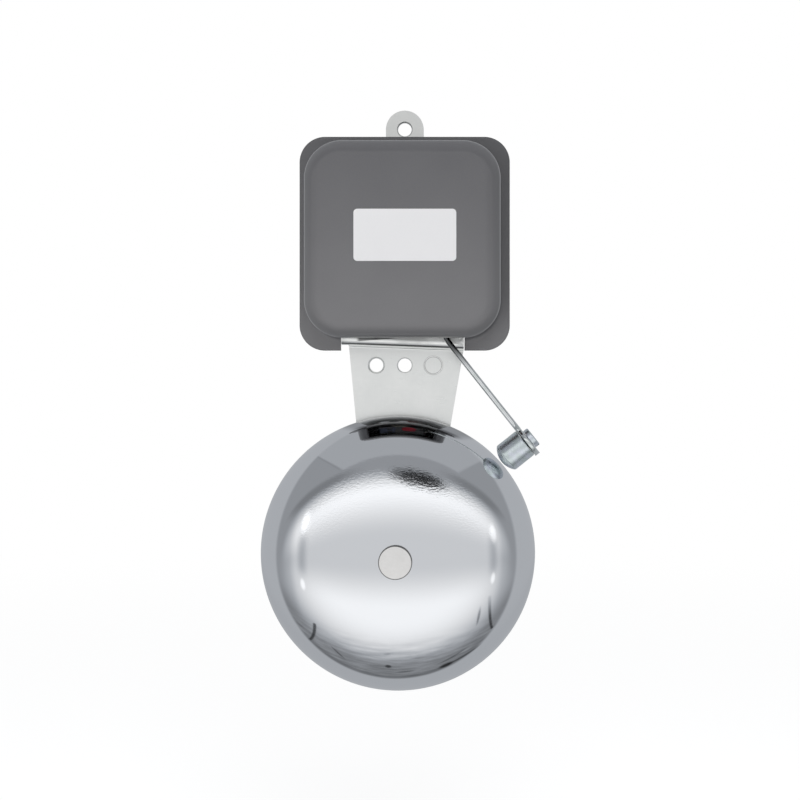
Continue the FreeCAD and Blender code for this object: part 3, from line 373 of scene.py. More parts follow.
left_stand = off_stand(-0.452, -0.42, 0.33, -1.25, -0.44, -0.38)
right_stand = off_stand(0.440, -0.25, -0.22, 0.75, -0.28, -0.22)
right_stand = right_stand + 0.5 * sky.fade(v, -0.59, -0.63)
stands = sky.fade(sky.math("MINIMUM", left_stand, right_stand), 0.019, 0.007)
level = level * (1 - 0.78 * stands * sky.fade(v, -0.72, -0.66) * sky.fade(v, -0.20, -0.45))
table_edge = sky.fade(abs(room_end - 0.95), 0.08, 0.02) * sky.fade(v, -0.55, -0.80)
streaks = plane_noise(3.2, 17.0, 1.6, 3.0, 0.6) - 0.5
streaks = streaks * sky.fade(v, -0.36, -0.62) * sky.fade(room_end, 1.05, 0.92)
level = level * (1 - 0.30 * table_edge) * (1 + 1.6 * streaks)
print("and with the dark things it has", len(sky.nodes))

# %% [markdown]
# Matt surfaces take their light mostly from the lamps, so for them the room is dimmer, and
# dimmest from below: the underside of the box stays dark. Grey parts of the room are a touch
# bluer than its lights, which gives the chrome its cool shadows.

# %% Light the world
camera_ray = sky.node("ShaderNodeLightPath", output="Is Camera Ray")
diffuse_ray = sky.node("ShaderNodeLightPath", output="Is Diffuse Ray")
for_matt = 0.16 + 0.30 * sky.fade(aim_z, -0.7, 0.6)
tint = sky.blend(sky.fade(level, 0.35, 0.95), rgb(0.955, 0.985, 1.03), rgb(1.0, 1.0, 1.0))
lit = sky.node("ShaderNodeBackground", None,
               {"Color": tint, "Strength": mixed(diffuse_ray, level, level * for_matt)})
paper = sky.node("ShaderNodeBackground", None, {"Color": rgb(1, 1, 1), "Strength": 1.0})
sky.node("ShaderNodeOutputWorld", None,
         [sky.node("ShaderNodeMixShader", None, [camera_ray, lit, paper])])
bpy.context.scene.view_settings.view_transform = "Standard"
print("the whole studio has", len(sky.nodes), "nodes")

# %% [markdown]
# Two soft area lamps give the matt pieces their shading: one above, and a large one just below
# the camera. They are hidden from mirror rays, because the painted window already shows there.


# %% Hang the lamps
def lamp(name, place, size, watts):
    """A square soft light, `size` millimetres wide, that points at the middle of the bell."""
    light = new_object(name, bpy.data.lights.new(name, "AREA"))
    light.data.size, light.data.energy = size * MM, watts
    light.location = np.array(place) * MM
    light.rotation_euler = light.location.to_track_quat("Z", "Y").to_euler()
    light.visible_glossy = False
    print(name, "gives", watts, "watts")


lamp("lamp_above", (80, -700, 560), 420, 2.6)
lamp("lamp_in_front", (-160, -880, -150), 620, 4.3)

# %% [markdown]
# The floor is a wide pale sheet, some way under the bell, since the bell hangs on a wall. Close
# to the bell it is matt and keeps the bell's soft shadow. Further out it turns into plain white
# light, so that no line shows where it ends.

# %% Lay the floor
FLOOR_HALF, FLOOR_DOWN = 3.0, 0.20    # metres
CORNER_SIGNS = ((-1, -1), (1, -1), (1, 1), (-1, 1))
floor = new_object("floor", bpy.data.meshes.new("floor"))
floor.data.from_pydata([(FLOOR_HALF * x, FLOOR_HALF * y, -FLOOR_DOWN) for x, y in CORNER_SIGNS],
                       [], [(0, 1, 2, 3)])
floor.visible_glossy = floor.visible_diffuse = floor.visible_shadow = False
pale = bpy.data.materials.new("pale_floor")
sheet = Tree(pale)
away = sheet.node("ShaderNodeVectorMath", {"operation": "LENGTH"},
                  [sheet.node("ShaderNodeTexCoord", output="Object")], "Value")
matt = sheet.node("ShaderNodeBsdfDiffuse", None, {"Color": rgb(0.55, 0.55, 0.55)})
glow = sheet.node("ShaderNodeEmission", None, {"Color": rgb(1, 1, 1), "Strength": 0.80})
near = sheet.node("ShaderNodeAddShader", None, [matt, glow])
white = sheet.node("ShaderNodeEmission", None, {"Color": rgb(1, 1, 1), "Strength": 1.0})
sheet.node("ShaderNodeOutputMaterial", None,
           [sheet.node("ShaderNodeMixShader", None, [sheet.fade(away, 0.22, 0.9), near, white])])
floor.data.materials.append(pale)
print("the floor is", 2 * FLOOR_HALF, "m wide and lies at z =", -FLOOR_DOWN, "m")

# %% [markdown]
# ## Finishes
#
# Every finish ends in one Principled shader. What is the same all over a piece, such as how
# metallic it is, is set on the shader itself. What changes over the surface, such as a mottled
# colour or a fine relief, comes in through a wire.

# %% A finish ends in one shader
finishes = {}
SOCKETS = {"color": "Base Color", "rough": "Roughness", "metal": "Metallic", "normal": "Normal",
           "coat": "Coat Weight", "coat_rough": "Coat Roughness", "gloss": "Specular IOR Level"}


def start(name):
    """The tree of a new, empty material."""
    finishes[name] = bpy.data.materials.new("finish_" + name)
    return Tree(finishes[name])


def finish(name, tree, **sockets):
    """Close a material: a Principled shader with these values or wires."""
    inputs = {SOCKETS[key]: value for key, value in sockets.items()}
    shader = tree.node("ShaderNodeBsdfPrincipled", None, inputs)
    tree.node("ShaderNodeOutputMaterial", None, [shader])
    print("finish", name, "with", len(tree.nodes), "nodes")


# %% [markdown]
# **Zinc-plated sheet.** The plate, the tab and the tongue are one steel sheet with a bright zinc
# coat. It is a soft mirror: fine rolling lines run along the sheet, large faint patches differ a
# little in shine, and here and there is a shallow handling scratch.
#
# Shade is painted into the colour: a dark line in the joggle's slope, a line round the knock-out,
# the pad's lower end under the box, a painted reflection as a dark wedge on the pad, and the
# tab's top. Each is a mask made of fades over x, y or z.

# %% Zinc-plated sheet
JOGGLE_Z = -27.0
disc_low, disc_high, disc_middle = span("knockout_disc")
GROOVE_R = (disc_high[0] - disc_low[0]) / 2
t = start("zinc_plate")
patches = t.noise(t.place(), 9.0)
crystals = t.split(t.node("ShaderNodeTexVoronoi", {"feature": "F1"}, {
    "Vector": t.place((1, 1, 1.3)), "Scale": 0.9, "Randomness": 1.0}, 1))[0]
rolled = t.noise(t.place((1, 1, 0.04)), 0.35)
scratch = t.fade(t.noise(t.place((0.06, 1, 1), (0, math.radians(24), 0)), 0.22, 1.0), 0.70, 0.78)
shade = patches * 0.7 + crystals * 0.12 + rolled * 0.18
color = t.blend(shade, rgb(0.82, 0.835, 0.82), rgb(0.945, 0.95, 0.935))

x, y, z = t.split(t.place())
# Painted shade and a painted reflection, each a mask: step, pad_end, sliver, groove and the tab's
# top.
step = t.fade(y, -2.90, -3.00) * t.fade(y, -3.70, -3.40)
step = step * t.fade(abs(z - JOGGLE_Z), 2.3, 1.9)
on_pad = t.fade(y, -3.6, -3.9)
pad_end = t.fade(z, -22.0, -24.5) * on_pad
sliver = t.fade(z - 0.065 * (x + 12.4), -25.95, -25.70) * t.fade(z, -22.0, -24.0) * on_pad
sliver = sliver * t.fade(x, -13.4, -12.2) * t.fade(x, -1.5, -4.5)
groove = t.fade(abs(diagonal(x - disc_middle[0], z - disc_middle[2]) - GROOVE_R), 0.34, 0.10)
# All these masks together darken the colour as painted shade.
painted_shade = step * 0.85 + sliver * 0.75 + groove * 0.45 + t.fade(z, 25.0, 29.0) * 0.24
painted_shade = painted_shade + pad_end * (0.10 + 0.25 * t.fade(patches, 0.60, 0.40))
finish("zinc_plate", t, color=t.blend(painted_shade, color, rgb(0.06, 0.06, 0.062)), metal=1.0,
       normal=t.bump(rolled, 0.004, t.bump(patches, 0.08)),
       rough=0.25 + 0.08 * patches + 0.06 * crystals - 0.06 * scratch)

# %% [markdown]
# ** Grey stove paint.** The box is sprayed and baked. Baked paint has a very fine orange-peel
# skin, so its shine is broad and soft, with tiny lighter and darker specks of pigment. Light from
# below is painted in: the box is a shade lighter towards its lower end, and lighter in the middle
# of its front than near its edges.
#
# A painted highlight follows the rounded edge of the box as a lighter band, with a painted sheen
# line at its foot. The brim's upper part and the underside are painted darker, as painted shade.
# `inset` is how far inside the outline of the box's walls a point lies: the corner radius, less
# the distance from the straight part of the outline or from a corner's centre.

# %% Grey stove paint
cover_low, cover_high, cover_middle = span("cover")
HALF, CORNER = np.array([25.9, 26.0]), 10.0
UNDERSIDE_Z = -24.70
t = start("cover_paint")
skin = t.noise(t.place(), 0.55)
specks = t.noise(t.place(), 0.16, 1.0)
cloud = t.noise(t.place(), 13.0)
x, y, z = t.split(t.place())
past_x = t.math("MAXIMUM", abs(x - cover_middle[0]) - (HALF[0] - CORNER), 0.0)
past_z = t.math("MAXIMUM", abs(z - cover_middle[2]) - (HALF[1] - CORNER), 0.0)
inset = CORNER - diagonal(past_x, past_z)
# Painted light: lighter towards the lower end and towards the middle of the front.
shade = (cloud * 0.22 + specks * 0.26 + t.fade(z, 30.0, -30.0) * 0.70
         + t.fade(inset, 2.0, 18.0) * 0.08 - 0.08)
color = t.blend(shade, rgb(0.082, 0.082, 0.089), rgb(0.166, 0.165, 0.171))
# Painted highlight: a lighter band on the rounded edge of the front.
off_brim = t.fade(y, -3.2, -4.0)
rounding = off_brim * t.fade(inset, 3.4, 0.9)
color = t.blend(rounding * 0.24, color, rgb(0.26, 0.26, 0.267))
# Painted sheen: a thin light line at the foot of the rounding.
outline = off_brim * t.fade(inset, 0.42, 0.16) * t.fade(z, -24.5, -21.0)
color = t.blend(outline * 0.80, color, rgb(0.36, 0.36, 0.366))
# Painted shade: the brim's upper part is darker.
upper_brim = (1 - off_brim) * t.fade(z, -27.0, -12.0)
color = t.blend(upper_brim * 0.28, color, rgb(0.028, 0.028, 0.030))
# Painted shade: the underside is darker.
underside = t.fade(z, UNDERSIDE_Z, UNDERSIDE_Z - 0.25) * off_brim
color = t.blend(underside * 0.9, color, rgb(0.02, 0.02, 0.021))
finish("cover_paint", t, color=color, metal=0.0, rough=0.42 + 0.08 * specks, gloss=0.4,
       coat=0.5, coat_rough=0.16, normal=t.bump(skin, 0.010, t.bump(specks, 0.002)))

# %% [markdown]
# ** Chrome.** The gong is polished and chrome-plated. Chrome is a mirror with a slightly blue
# tint. Where the steel was pressed and stretched, near the crown, it keeps a fine grain that the
# polish doesn't quite remove, and that breaks up small reflections into specks. Right under the
# box the rim's colour is darkened: painted shade and a painted reflection of the box's underside.

# %% Chrome
t = start("gong_chrome")
grain = t.noise(t.place((0.45, 1, 1)), 0.42)
pressed = t.noise(t.place(), 2.2, 1.0)
haze = t.fade(t.noise(t.place(), 5.0), 0.45, 0.75)
x, y, z = t.split(t.place())
right, up = x - gong_middle[0], z - gong_middle[2]
out = diagonal(right, up) / GONG_R
crest = t.fade(out, 0.78, 0.62) * t.fade(out, 0.30, 0.60) * t.fade(up, -2.0, 14.0)
# Painted shade and painted reflection: the rim's top under the box is darkened.
rim_shade = t.fade(out, 0.934, 0.948) * t.fade(up + 0.08 * right, 32.3, 34.0)
rim_shade = rim_shade * (0.82 - 0.40 * t.fade(out, 0.955, 0.972) + 0.20 * t.fade(out, 0.985, 0.997))
finish("gong_chrome", t, metal=1.0, rough=0.045 + 0.045 * crest + 0.015 * haze,
       color=t.blend(rim_shade, rgb(0.775, 0.79, 0.815), rgb(0.05, 0.05, 0.055)),
       normal=t.bump(grain * crest, 0.020, t.bump(pressed * crest, 0.006)))

# %% [markdown]
# **Blue-white zinc.** Small turned pieces are tumbled in a zinc bath and dipped, which gives
# them a cold, slightly blue and greenish sheen. Turning leaves fine rings, which run round the
# piece, so the pattern is stretched across its axis. The steel of the terminal screws has the
# same rings without the blue.


# %% Blue-white zinc and turned steel
def blue_zinc(name, turn, dark, light, rough, shade_near_box=0.0):
    """Zinc with a faint colour shift; `turn` points the fine lines along the piece.

    The last argument is how strongly the piece is painted darker near the box, as painted shade.
    """
    t = start(name)
    lines = t.noise(t.place((1, 1, 0.05), turn), 0.30, 1.0)
    drift = t.noise(t.place(), 2.4)
    hue = t.blend(t.fade(drift, 0.35, 0.65), rgb(*dark), rgb(*light))
    color = t.blend(lines * 0.08, hue, rgb(0.80, 0.83, 0.86))
    # Painted shade: darker near the box.
    if shade_near_box:
        height = t.split(t.place())[2]
        color = t.blend(shade_near_box * t.fade(height, -34.5, -27.0), color, rgb(0.05, 0.052, 0.055))
    finish(name, t, color=color, metal=1.0, rough=rough + 0.05 * lines,
           normal=t.bump(lines, 0.0004))


TILT, SQUARE = math.radians(38.5), math.radians(90)
blue_zinc("zinc_hammer", (0, SQUARE - TILT, 0), (0.60, 0.67, 0.67), (0.69, 0.73, 0.80), 0.29)
# The wire is painted darker near the box, as painted shade.
blue_zinc("zinc_wire", (0, TILT, 0), (0.66, 0.70, 0.69), (0.74, 0.76, 0.77), 0.18, shade_near_box=0.92)
blue_zinc("turned_steel", (SQUARE, 0, 0), (0.50, 0.51, 0.51), (0.60, 0.60, 0.59), 0.30)

# %% [markdown]
# **Blackened iron.** The magnet's iron is browned against rust, which leaves it nearly black with
# a soft shine. On the underside of the armature is a dab of red lacquer. It seals the hammer's
# setting, and shows as a red spot in the gong.

# %% Blackened iron
DAB_X, DAB_Y, DAB_HALF_X, DAB_HALF_Y = 3.6, -10.9, 4.2, 3.6
t = start("soft_iron")
cloud = t.noise(t.place(), 1.8, 3.0, 0.6)
fine = t.noise(t.place(), 0.25, 1.0)
iron = t.blend(cloud, rgb(0.070, 0.070, 0.074), rgb(0.120, 0.117, 0.112))
x, y, z = t.split(t.place())
uneven = 0.6 * (t.noise(t.place(), 3.0, 1.0) - 0.5)
from_dab = diagonal((x - DAB_X) / DAB_HALF_X, (y - DAB_Y) / DAB_HALF_Y) + uneven
dab = t.fade(from_dab, 1.05, 0.95) * t.fade(z, -14.2, -14.6) * t.fade(z, -15.6, -15.3)
finish("soft_iron", t, color=t.blend(dab, iron, rgb(0.60, 0.02, 0.05)), metal=1.0 - dab,
       rough=0.40 + 0.12 * fine, normal=t.bump(fine, 0.006))

# %% [markdown]
# **Spring steel and brass.** The spring is rolled strip, tempered to a dark blue. The terminals
# are plain brass.


# %% Spring steel and brass
def plain_metal(name, dark, light, rough, spot, stretch=(1, 1, 1)):
    """A metal with soft spots `spot` millimetres wide."""
    t = start(name)
    spots = t.noise(t.place(stretch), spot, 3.0, 0.6)
    fine = t.noise(t.place(), spot / 6, 1.0)
    finish(name, t, color=t.blend(spots, rgb(*dark), rgb(*light)), metal=1.0,
           rough=rough + 0.14 * fine, normal=t.bump(fine, 0.006, t.bump(spots, 0.02)))


plain_metal("spring_steel", (0.040, 0.046, 0.066), (0.085, 0.092, 0.120), 0.30, 0.8, (1, 0.08, 1))
plain_metal("terminal_brass", (0.62, 0.44, 0.17), (0.78, 0.58, 0.26), 0.30, 1.2)

# %% [markdown]
# ** Rivets.** Rivet metal is soft and pale. The gong's rivet has a painted shade line round the
# edge of its head, where it meets the chrome. The rivets inside the box were blackened together
# with the iron.

# %% Rivets
IN_BOX_Z = -38.0
t = start("rivet_metal")
spots = t.noise(t.place(), 1.6, 3.0, 0.6)
fine = t.noise(t.place(), 0.27, 1.0)
x, y, z = t.split(t.place())
from_axis = diagonal(x - gong_middle[0], z - gong_middle[2])
# Painted shade: a dark line round the edge of the rivet's head.
ring_shade = t.fade(from_axis, 4.12, 4.30) * t.fade(y, -RIM_DEPTH, -APEX_DEPTH)
pale_metal = t.blend(spots, rgb(0.80, 0.79, 0.775), rgb(0.90, 0.89, 0.88))
black_metal = t.blend(spots, rgb(0.06, 0.06, 0.063), rgb(0.13, 0.13, 0.13))
color = t.blend(t.fade(z, IN_BOX_Z - 4, IN_BOX_Z), pale_metal, black_metal)
finish("rivet_metal", t, color=t.blend(ring_shade * 0.80, color, rgb(0.03, 0.03, 0.03)),
       metal=1.0, rough=0.42 + 0.14 * fine, normal=t.bump(fine, 0.006, t.bump(spots, 0.02)))

# %% [markdown]
# **Plastics, fibre and rubber.** These are not metals: light goes a little way in and comes out
# coloured, under a clear shine. Each gets its own grain: nylon is milky, fibre is flecked,
# insulation is smooth, and rubber is dull and dusty.


# %% Plastics, fibre and rubber
def plain_plastic(name, dark, light, rough, fleck, depth, coat=0.0):
    """A plastic with flecks `fleck` millimetres wide and a relief `depth` millimetres deep."""
    t = start(name)
    flecks = t.noise(t.place(), fleck, 3.0, 0.6)
    cloud = t.noise(t.place(), fleck * 9, 1.0)
    share = flecks * 0.6 + cloud * 0.4
    finish(name, t, color=t.blend(share, rgb(*dark), rgb(*light)), metal=0.0, coat=coat,
           rough=rough + 0.12 * flecks, normal=t.bump(flecks, depth))


plain_plastic("bobbin_plastic", (0.50, 0.47, 0.38), (0.66, 0.63, 0.54), 0.38, 0.5, 0.006)
plain_plastic("terminal_plastic", (0.64, 0.62, 0.56), (0.76, 0.75, 0.70), 0.34, 0.4, 0.006)
plain_plastic("lead_insulation", (0.36, 0.012, 0.014), (0.47, 0.022, 0.022), 0.28, 0.3, 0.003,
              coat=0.3)
plain_plastic("fibre", (0.20, 0.06, 0.035), (0.38, 0.13, 0.08), 0.55, 0.25, 0.012)
plain_plastic("grommet_rubber", (0.020, 0.020, 0.020), (0.050, 0.049, 0.047), 0.62, 0.3, 0.010)
plain_plastic("label_film", (0.775, 0.775, 0.790), (0.815, 0.815, 0.825), 0.42, 0.6, 0.002)

# %% [markdown]
# **Coil tape and copper.** Tape and wire are wound round the coil in a screw line, so each
# turn's edge shows as a fine step. The turn count at a point is its angle round the coil, as a
# share of a full turn, plus its height over the rise per turn. The fraction of that number makes
# a saw-tooth relief. A hundred turns are added first, so that the count is never negative.

# %% Coil tape and copper
coil_middle = span("coil_tape")[2]
TAPE_RISE, WIRE_RISE = 6.5, 0.16


def screw_line(t, rise):
    """How far round a screw line a point is, from 0 to 1 over one turn."""
    x, y, z = t.split(t.place())
    angle = t.math("ARCTAN2", y - coil_middle[1], x - coil_middle[0])
    return t.math("FRACT", angle / (2 * math.pi) + z / rise + 100.0)


t = start("red_tape")
lap = screw_line(t, TAPE_RISE)
wrinkle = t.noise(t.place((1, 1, 0.3)), 0.8)
# Painted shade: the colour is darker along each lap's step.
edge = t.fade(lap, 0.05, 0.0) + t.fade(lap, 0.97, 1.0)
color = t.blend(wrinkle, rgb(0.40, 0.012, 0.018), rgb(0.50, 0.030, 0.034))
finish("red_tape", t, color=t.blend(edge * 0.5, color, rgb(0.16, 0.006, 0.008)), metal=0.0,
       rough=0.22 + 0.16 * wrinkle, coat=0.4, normal=t.bump(lap, 0.05, t.bump(wrinkle, 0.03)))

t = start("copper_wire")
turn = screw_line(t, WIRE_RISE)
round_wire = (turn * (1 - turn) * 4) ** 0.5
# The colour is painted shade and highlight: dark between the turns, light on each turn's crest.
finish("copper_wire", t, metal=1.0, rough=0.25,
       color=t.blend(round_wire, rgb(0.30, 0.085, 0.030), rgb(0.72, 0.27, 0.12)),
       normal=t.bump(round_wire, 0.05))

# %% [markdown]
# Every node of the model now swaps its plain colour for the finish of the same name. Pieces that
# get a finer mesh below take theirs from the same list.

# %% Dress the model's own pieces
slot_of = {entry["node"]: entry["material_slot"] for entry in frame["record"]["subparts"]}
for name, piece in nodes.items():
    for slot in piece.material_slots:
        slot.material = finishes[slot_of[name]]
print("dressed", len(nodes), "nodes with", len(finishes), "finishes")

# %% [markdown]
# ## Surfaces from formulas
#
# A new piece is a grid of points worked out with numpy: one direction of the grid runs along a
# profile and the other round or along the piece. The grid is computed as whole arrays, then its
# neighbouring points are joined to quads. Points that fall together, at a pole or a seam, are
# merged, so the mesh is closed.

# %% From a grid of points to a finished piece
SHARP = math.radians(32)
SAME_POINT, NO_LENGTH = 2e-7, 1e-7    # metres


def quads(rows, columns, wrap_rows):
    """Corner numbers of every quad in a grid. Its last column joins the first; a row may too."""
    row, column = np.meshgrid(np.arange(rows - (not wrap_rows)), np.arange(columns),
                              indexing="ij")
    ahead, beside = (row + 1) % rows, (column + 1) % columns
    corners = (row * columns + column, row * columns + beside,
               ahead * columns + beside, ahead * columns + column)
    return np.stack(corners, -1).reshape(-1, 4)


def clean(piece):
    """Merge points that fall together, face the surface outwards and mark its sharp edges."""
    work = bmesh.new()
    work.from_mesh(piece.data)
    bmesh.ops.remove_doubles(work, verts=work.verts, dist=SAME_POINT)
    bmesh.ops.dissolve_degenerate(work, edges=work.edges, dist=NO_LENGTH)
    bmesh.ops.recalc_face_normals(work, faces=work.faces)
    work.to_mesh(piece.data)
    work.free()
    piece.data.shade_smooth()
    piece.data.set_sharp_from_angle(angle=SHARP)


def new_piece(name, grid, wrap_rows=False):
    """An object from a grid of points in millimetres, merged, closed and facing outwards."""
    rows, columns = grid.shape[:2]
    mesh = bpy.data.meshes.new(name)
    faces = quads(rows, columns, wrap_rows)
    mesh.from_pydata((grid.reshape(-1, 3) * MM).tolist(), [], faces.tolist())
    piece = new_object(name, mesh)
    clean(piece)
    return piece


def stands_for(piece, *replaced, body):
    """Give a piece its finish and its body, and hide the model's nodes that it stands for."""
    slot = slot_of[replaced[0]]
    piece.data.materials.clear()
    piece.data.materials.append(finishes[slot])
    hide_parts(*replaced)
    if body:
        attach(piece, body)
    print("%-17s %6d faces" % (piece.name, len(piece.data.polygons)))


# %% [markdown]
# Three helpers serve several pieces: one closes rows to a point at both ends, one rounds the
# corners of a line, and one spins a profile about an axis.


# %% Poles, rounded corners and spun profiles
def capped(rows):
    """Rows of points with a pole before the first and after the last, which close both ends.

    A pole is the mean of its row, as often as the row has points.
    """
    ends = [np.broadcast_to(rows[end].mean(0), (1, *rows[end].shape)) for end in (0, -1)]
    return np.concatenate([ends[0], rows, ends[1]])


def softened(corners, reach, steps=6):
    """A line through corner points, each inner corner replaced by a curve.

    The curve starts `reach` before the corner and ends as far after it. Between, a point is
    (1-t)^2 of the start, 2t(1-t) of the corner and t^2 of the end.
    """
    corners = np.array(corners, float)
    reach = np.broadcast_to(reach, len(corners) - 2)[:, None]
    middle = corners[1:-1]
    back, ahead = corners[:-2] - middle, corners[2:] - middle
    start = (middle + back / np.linalg.norm(back, axis=1)[:, None] * reach)[:, None]
    end = (middle + ahead / np.linalg.norm(ahead, axis=1)[:, None] * reach)[:, None]
    t = np.linspace(0, 1, steps)[None, :, None]
    curves = (1 - t) ** 2 * start + 2 * t * (1 - t) * middle[:, None] + t ** 2 * end
    return np.concatenate([corners[:1], curves.reshape(-1, corners.shape[1]), corners[-1:]])


OFF_AXIS = (0.3, 0.5, 0.81)    # any direction that no piece is spun about


def spun(profile, base, axis, around=96):
    """A profile spun about an axis.

    A profile point is (radius, height). Its place is base + height * axis + radius * (cos a *
    side + sin a * other side), for angles a all the way round.
    """
    axis = np.array(axis, float) / np.linalg.norm(axis)
    side = np.cross(axis, OFF_AXIS)
    side /= np.linalg.norm(side)
    other = np.cross(axis, side)
    angle = np.linspace(0, 2 * math.pi, around, endpoint=False)
    ring = np.cos(angle)[:, None] * side + np.sin(angle)[:, None] * other
    profile = np.array(profile, float)
    return (np.array(base, float) + profile[:, None, 1:] * axis
            + profile[:, :1, None] * ring[None])


# %% [markdown]
# ## The gong
#
# A gong is a disc of steel pressed to a dome and chromed. Its section is a quarter of an
# ellipse, which is flatter at the crown than a ball and steep at the rim, and its edge is
# rounded. A mirror shows every bend, so the mesh is fine and its points lie exactly on the
# ellipse: radius = R cos a, depth = rim + H sin a. The angle runs from the rim to the rivet
# hole, where R cos a is the hole's radius. So H is a little more than the dome's height there.

# %% Press the gong
WALL, HOLE_R, RIM_ROUNDING = 1.2, 2.5, 0.34
SPACING = 0.9    # below 1, the points lie closer together towards the hole
GONG_AXIS, OUT_OF_WALL = (gong_middle[0], 0, gong_middle[2]), (0, -1, 0)


def dome_section(radius, height, count):
    """Points of a quarter ellipse from the rim in to the rivet hole, as (radius, depth)."""
    stop = math.acos(HOLE_R / radius)
    angle = np.linspace(0, 1, count) ** SPACING * stop
    return np.stack([radius * np.cos(angle), RIM_DEPTH + height * np.sin(angle)], -1)


dome_height = (APEX_DEPTH - RIM_DEPTH) / math.sin(math.acos(HOLE_R / GONG_R))
outside = dome_section(GONG_R, dome_height, 110)
inside = dome_section(GONG_R - WALL, dome_height - WALL, 60)[::-1]
rim_edge = softened([outside[2], outside[0], inside[-1], inside[-3]], RIM_ROUNDING, 5)
section = np.concatenate([outside[3:], inside[:-3], rim_edge[1:-1][::-1]])
gong = new_piece("gong_dome", spun(section, GONG_AXIS, OUT_OF_WALL, 240), wrap_rows=True)
stands_for(gong, "gong", body="bell_frame")

# %% [markdown]
# ## The rivet in the gong's middle
#
# Its head is a pale, dull disc with a slightly crowned face and a rounded edge, on a shank that
# goes through the gong, its post and the tongue.

# %% Head the rivet
SHANK_R, CROWN_R, CROWN, FACE_ROUNDING, BACK_ROUNDING = 2.4, 0.5, 0.06, 0.22, 0.10
rivet_low, rivet_high, _ = span("gong_rivet")
head_r, head_front = (rivet_high[0] - rivet_low[0]) / 2, -rivet_low[1]
head_curve = softened([(CROWN_R, head_front), (head_r, head_front - CROWN), (head_r, APEX_DEPTH),
                       (SHANK_R, APEX_DEPTH)], [FACE_ROUNDING, BACK_ROUNDING])
head_profile = [(0, head_front), *head_curve, (SHANK_R, 0.0), (0, 0.0)]
rivet = new_piece("gong_rivet_head", spun(head_profile, GONG_AXIS, OUT_OF_WALL))
stands_for(rivet, "gong_rivet", body="bell_frame")

# %% [markdown]
# ## The hammer
#
# The hammer is a short turned cylinder with a bulging end that meets the gong. Its axis points
# up and away from the gong at 38.5 degrees. The wire comes down square to that axis, is
# flattened to an eye at its end, and is clamped there by a slotted screw.
#
# The bulge is part of a ball. Its radius follows from the head's radius r and the bulge b:
# (r^2 + b^2) / 2b. The middle of the head's back is found from the model's box: a tilted
# cylinder reaches past it by radius * sin or cos of the tilt, less what its chamfer takes away.

# %% Turn the hammer head
out_of_head = np.array([math.cos(TILT), 0, math.sin(TILT)])
up_wire = np.array([-math.sin(TILT), 0, math.cos(TILT)])
HEAD_R, HEAD_STRAIGHT, HEAD_BULGE, CHAMFER, SCREW_R = 4.05, 6.5, 1.65, 0.3, 1.5
_, head_high, head_middle = span("hammer_head")
HAMMER_DEPTH = -head_middle[1]
head_length = HEAD_BULGE + HEAD_STRAIGHT
ball_r = (HEAD_R ** 2 + HEAD_BULGE ** 2) / (2 * HEAD_BULGE)
bulge_angle = np.linspace(0, math.asin(HEAD_R / ball_r), 14)
bulge = np.stack([ball_r * np.sin(bulge_angle), ball_r * (1 - np.cos(bulge_angle))], -1)
side_line = softened([bulge[-2], (HEAD_R, HEAD_BULGE), (HEAD_R, head_length),
                      (SCREW_R, head_length)], [0.3, CHAMFER + 0.05])[1:]
head_back = np.array([head_high[0] - (HEAD_R - CHAMFER) * math.sin(TILT), -HAMMER_DEPTH,
                      head_high[2] - HEAD_R * math.cos(TILT) + CHAMFER * math.sin(TILT)])
head_profile = np.concatenate([bulge[:-1], side_line, [(0, head_length)]])
head = new_piece("hammer_body", spun(head_profile, head_back - out_of_head * head_length,
                                     out_of_head, 128))
stands_for(head, "hammer_head", body="hammer_arm")

# %% [markdown]
# The hammer's wire changes its section along its way, so a tube here takes a half width, a half
# thickness and a squareness for every point of its route.


# %% A tube along a route
def tube(route, half_width, half_thick, squareness):
    """A tube along a route, closed at both ends, with a section for every point of the route.

    A point of a section is the route's point + half_width * c across + half_thick * s along the
    normal. Here c and s are the cosine and sine of the angle round the tube, both raised to the
    power `squareness` with their sign kept: 1 gives an ellipse, and less gives a rounded box.
    """
    way = np.gradient(route, axis=0)
    across = np.array([0.0, 1.0, 0.0])
    normal = np.cross(across, way / np.linalg.norm(way, axis=1)[:, None])
    angle = np.linspace(0, 2 * math.pi, 28, endpoint=False)
    c, s = (np.sign(wave) * np.abs(wave) ** squareness[:, None]
            for wave in (np.cos(angle), np.sin(angle)))
    return capped(route[:, None] + (half_width[:, None] * c)[..., None] * across
                  + (half_thick[:, None] * s)[..., None] * normal[:, None])


# %% [markdown]
# The wire starts as the small button that holds it in the armature. Then it is round, and at its
# end it widens through a short neck to a flat disc, the eye. Across a disc, the half width at a
# distance d from its middle is the root of r^2 - d^2. The neck swells like a bell curve.

# %% Bend the wire and flatten its eye
WIRE_R, WIRE_X, WIRE_BEND = 0.75, 10.3, 4.2
EYE_R, EYE_PAST, EYE_HALF, EYE_OUT, EYE_END = 4.2, 0.35, 0.72, 0.77, 4.55
EYE_SQUARENESS, NECK_SWELL, NECK_REACH, LEAST_WIDTH = 0.55, 0.9, 1.2, 0.02
BUTTON = ((0, 0.95), (0.06, 1.12), (0.22, 1.2))    # how far down, and how wide there
wire_top, armature_top = span("hammer_wire")[1][2], span("armature")[1][2]
eye = head_back + out_of_head * EYE_OUT
corner = eye + up_wire * ((eye[0] - WIRE_X) / math.sin(TILT))
root = (WIRE_X, -HAMMER_DEPTH, armature_top)
curve = softened([root, corner, eye], WIRE_BEND, 24)[:-1]
button = np.array([(WIRE_X, -HAMMER_DEPTH, wire_top - down) for down, _ in BUTTON] + [root])
start_run = curve[0] + (curve[1] - curve[0]) * np.linspace(0, 1, 12)[:-1, None]
end_run = eye - up_wire * EYE_END - curve[-1]
end_run = curve[-1] + end_run * np.linspace(0, 1, 160)[1:, None]
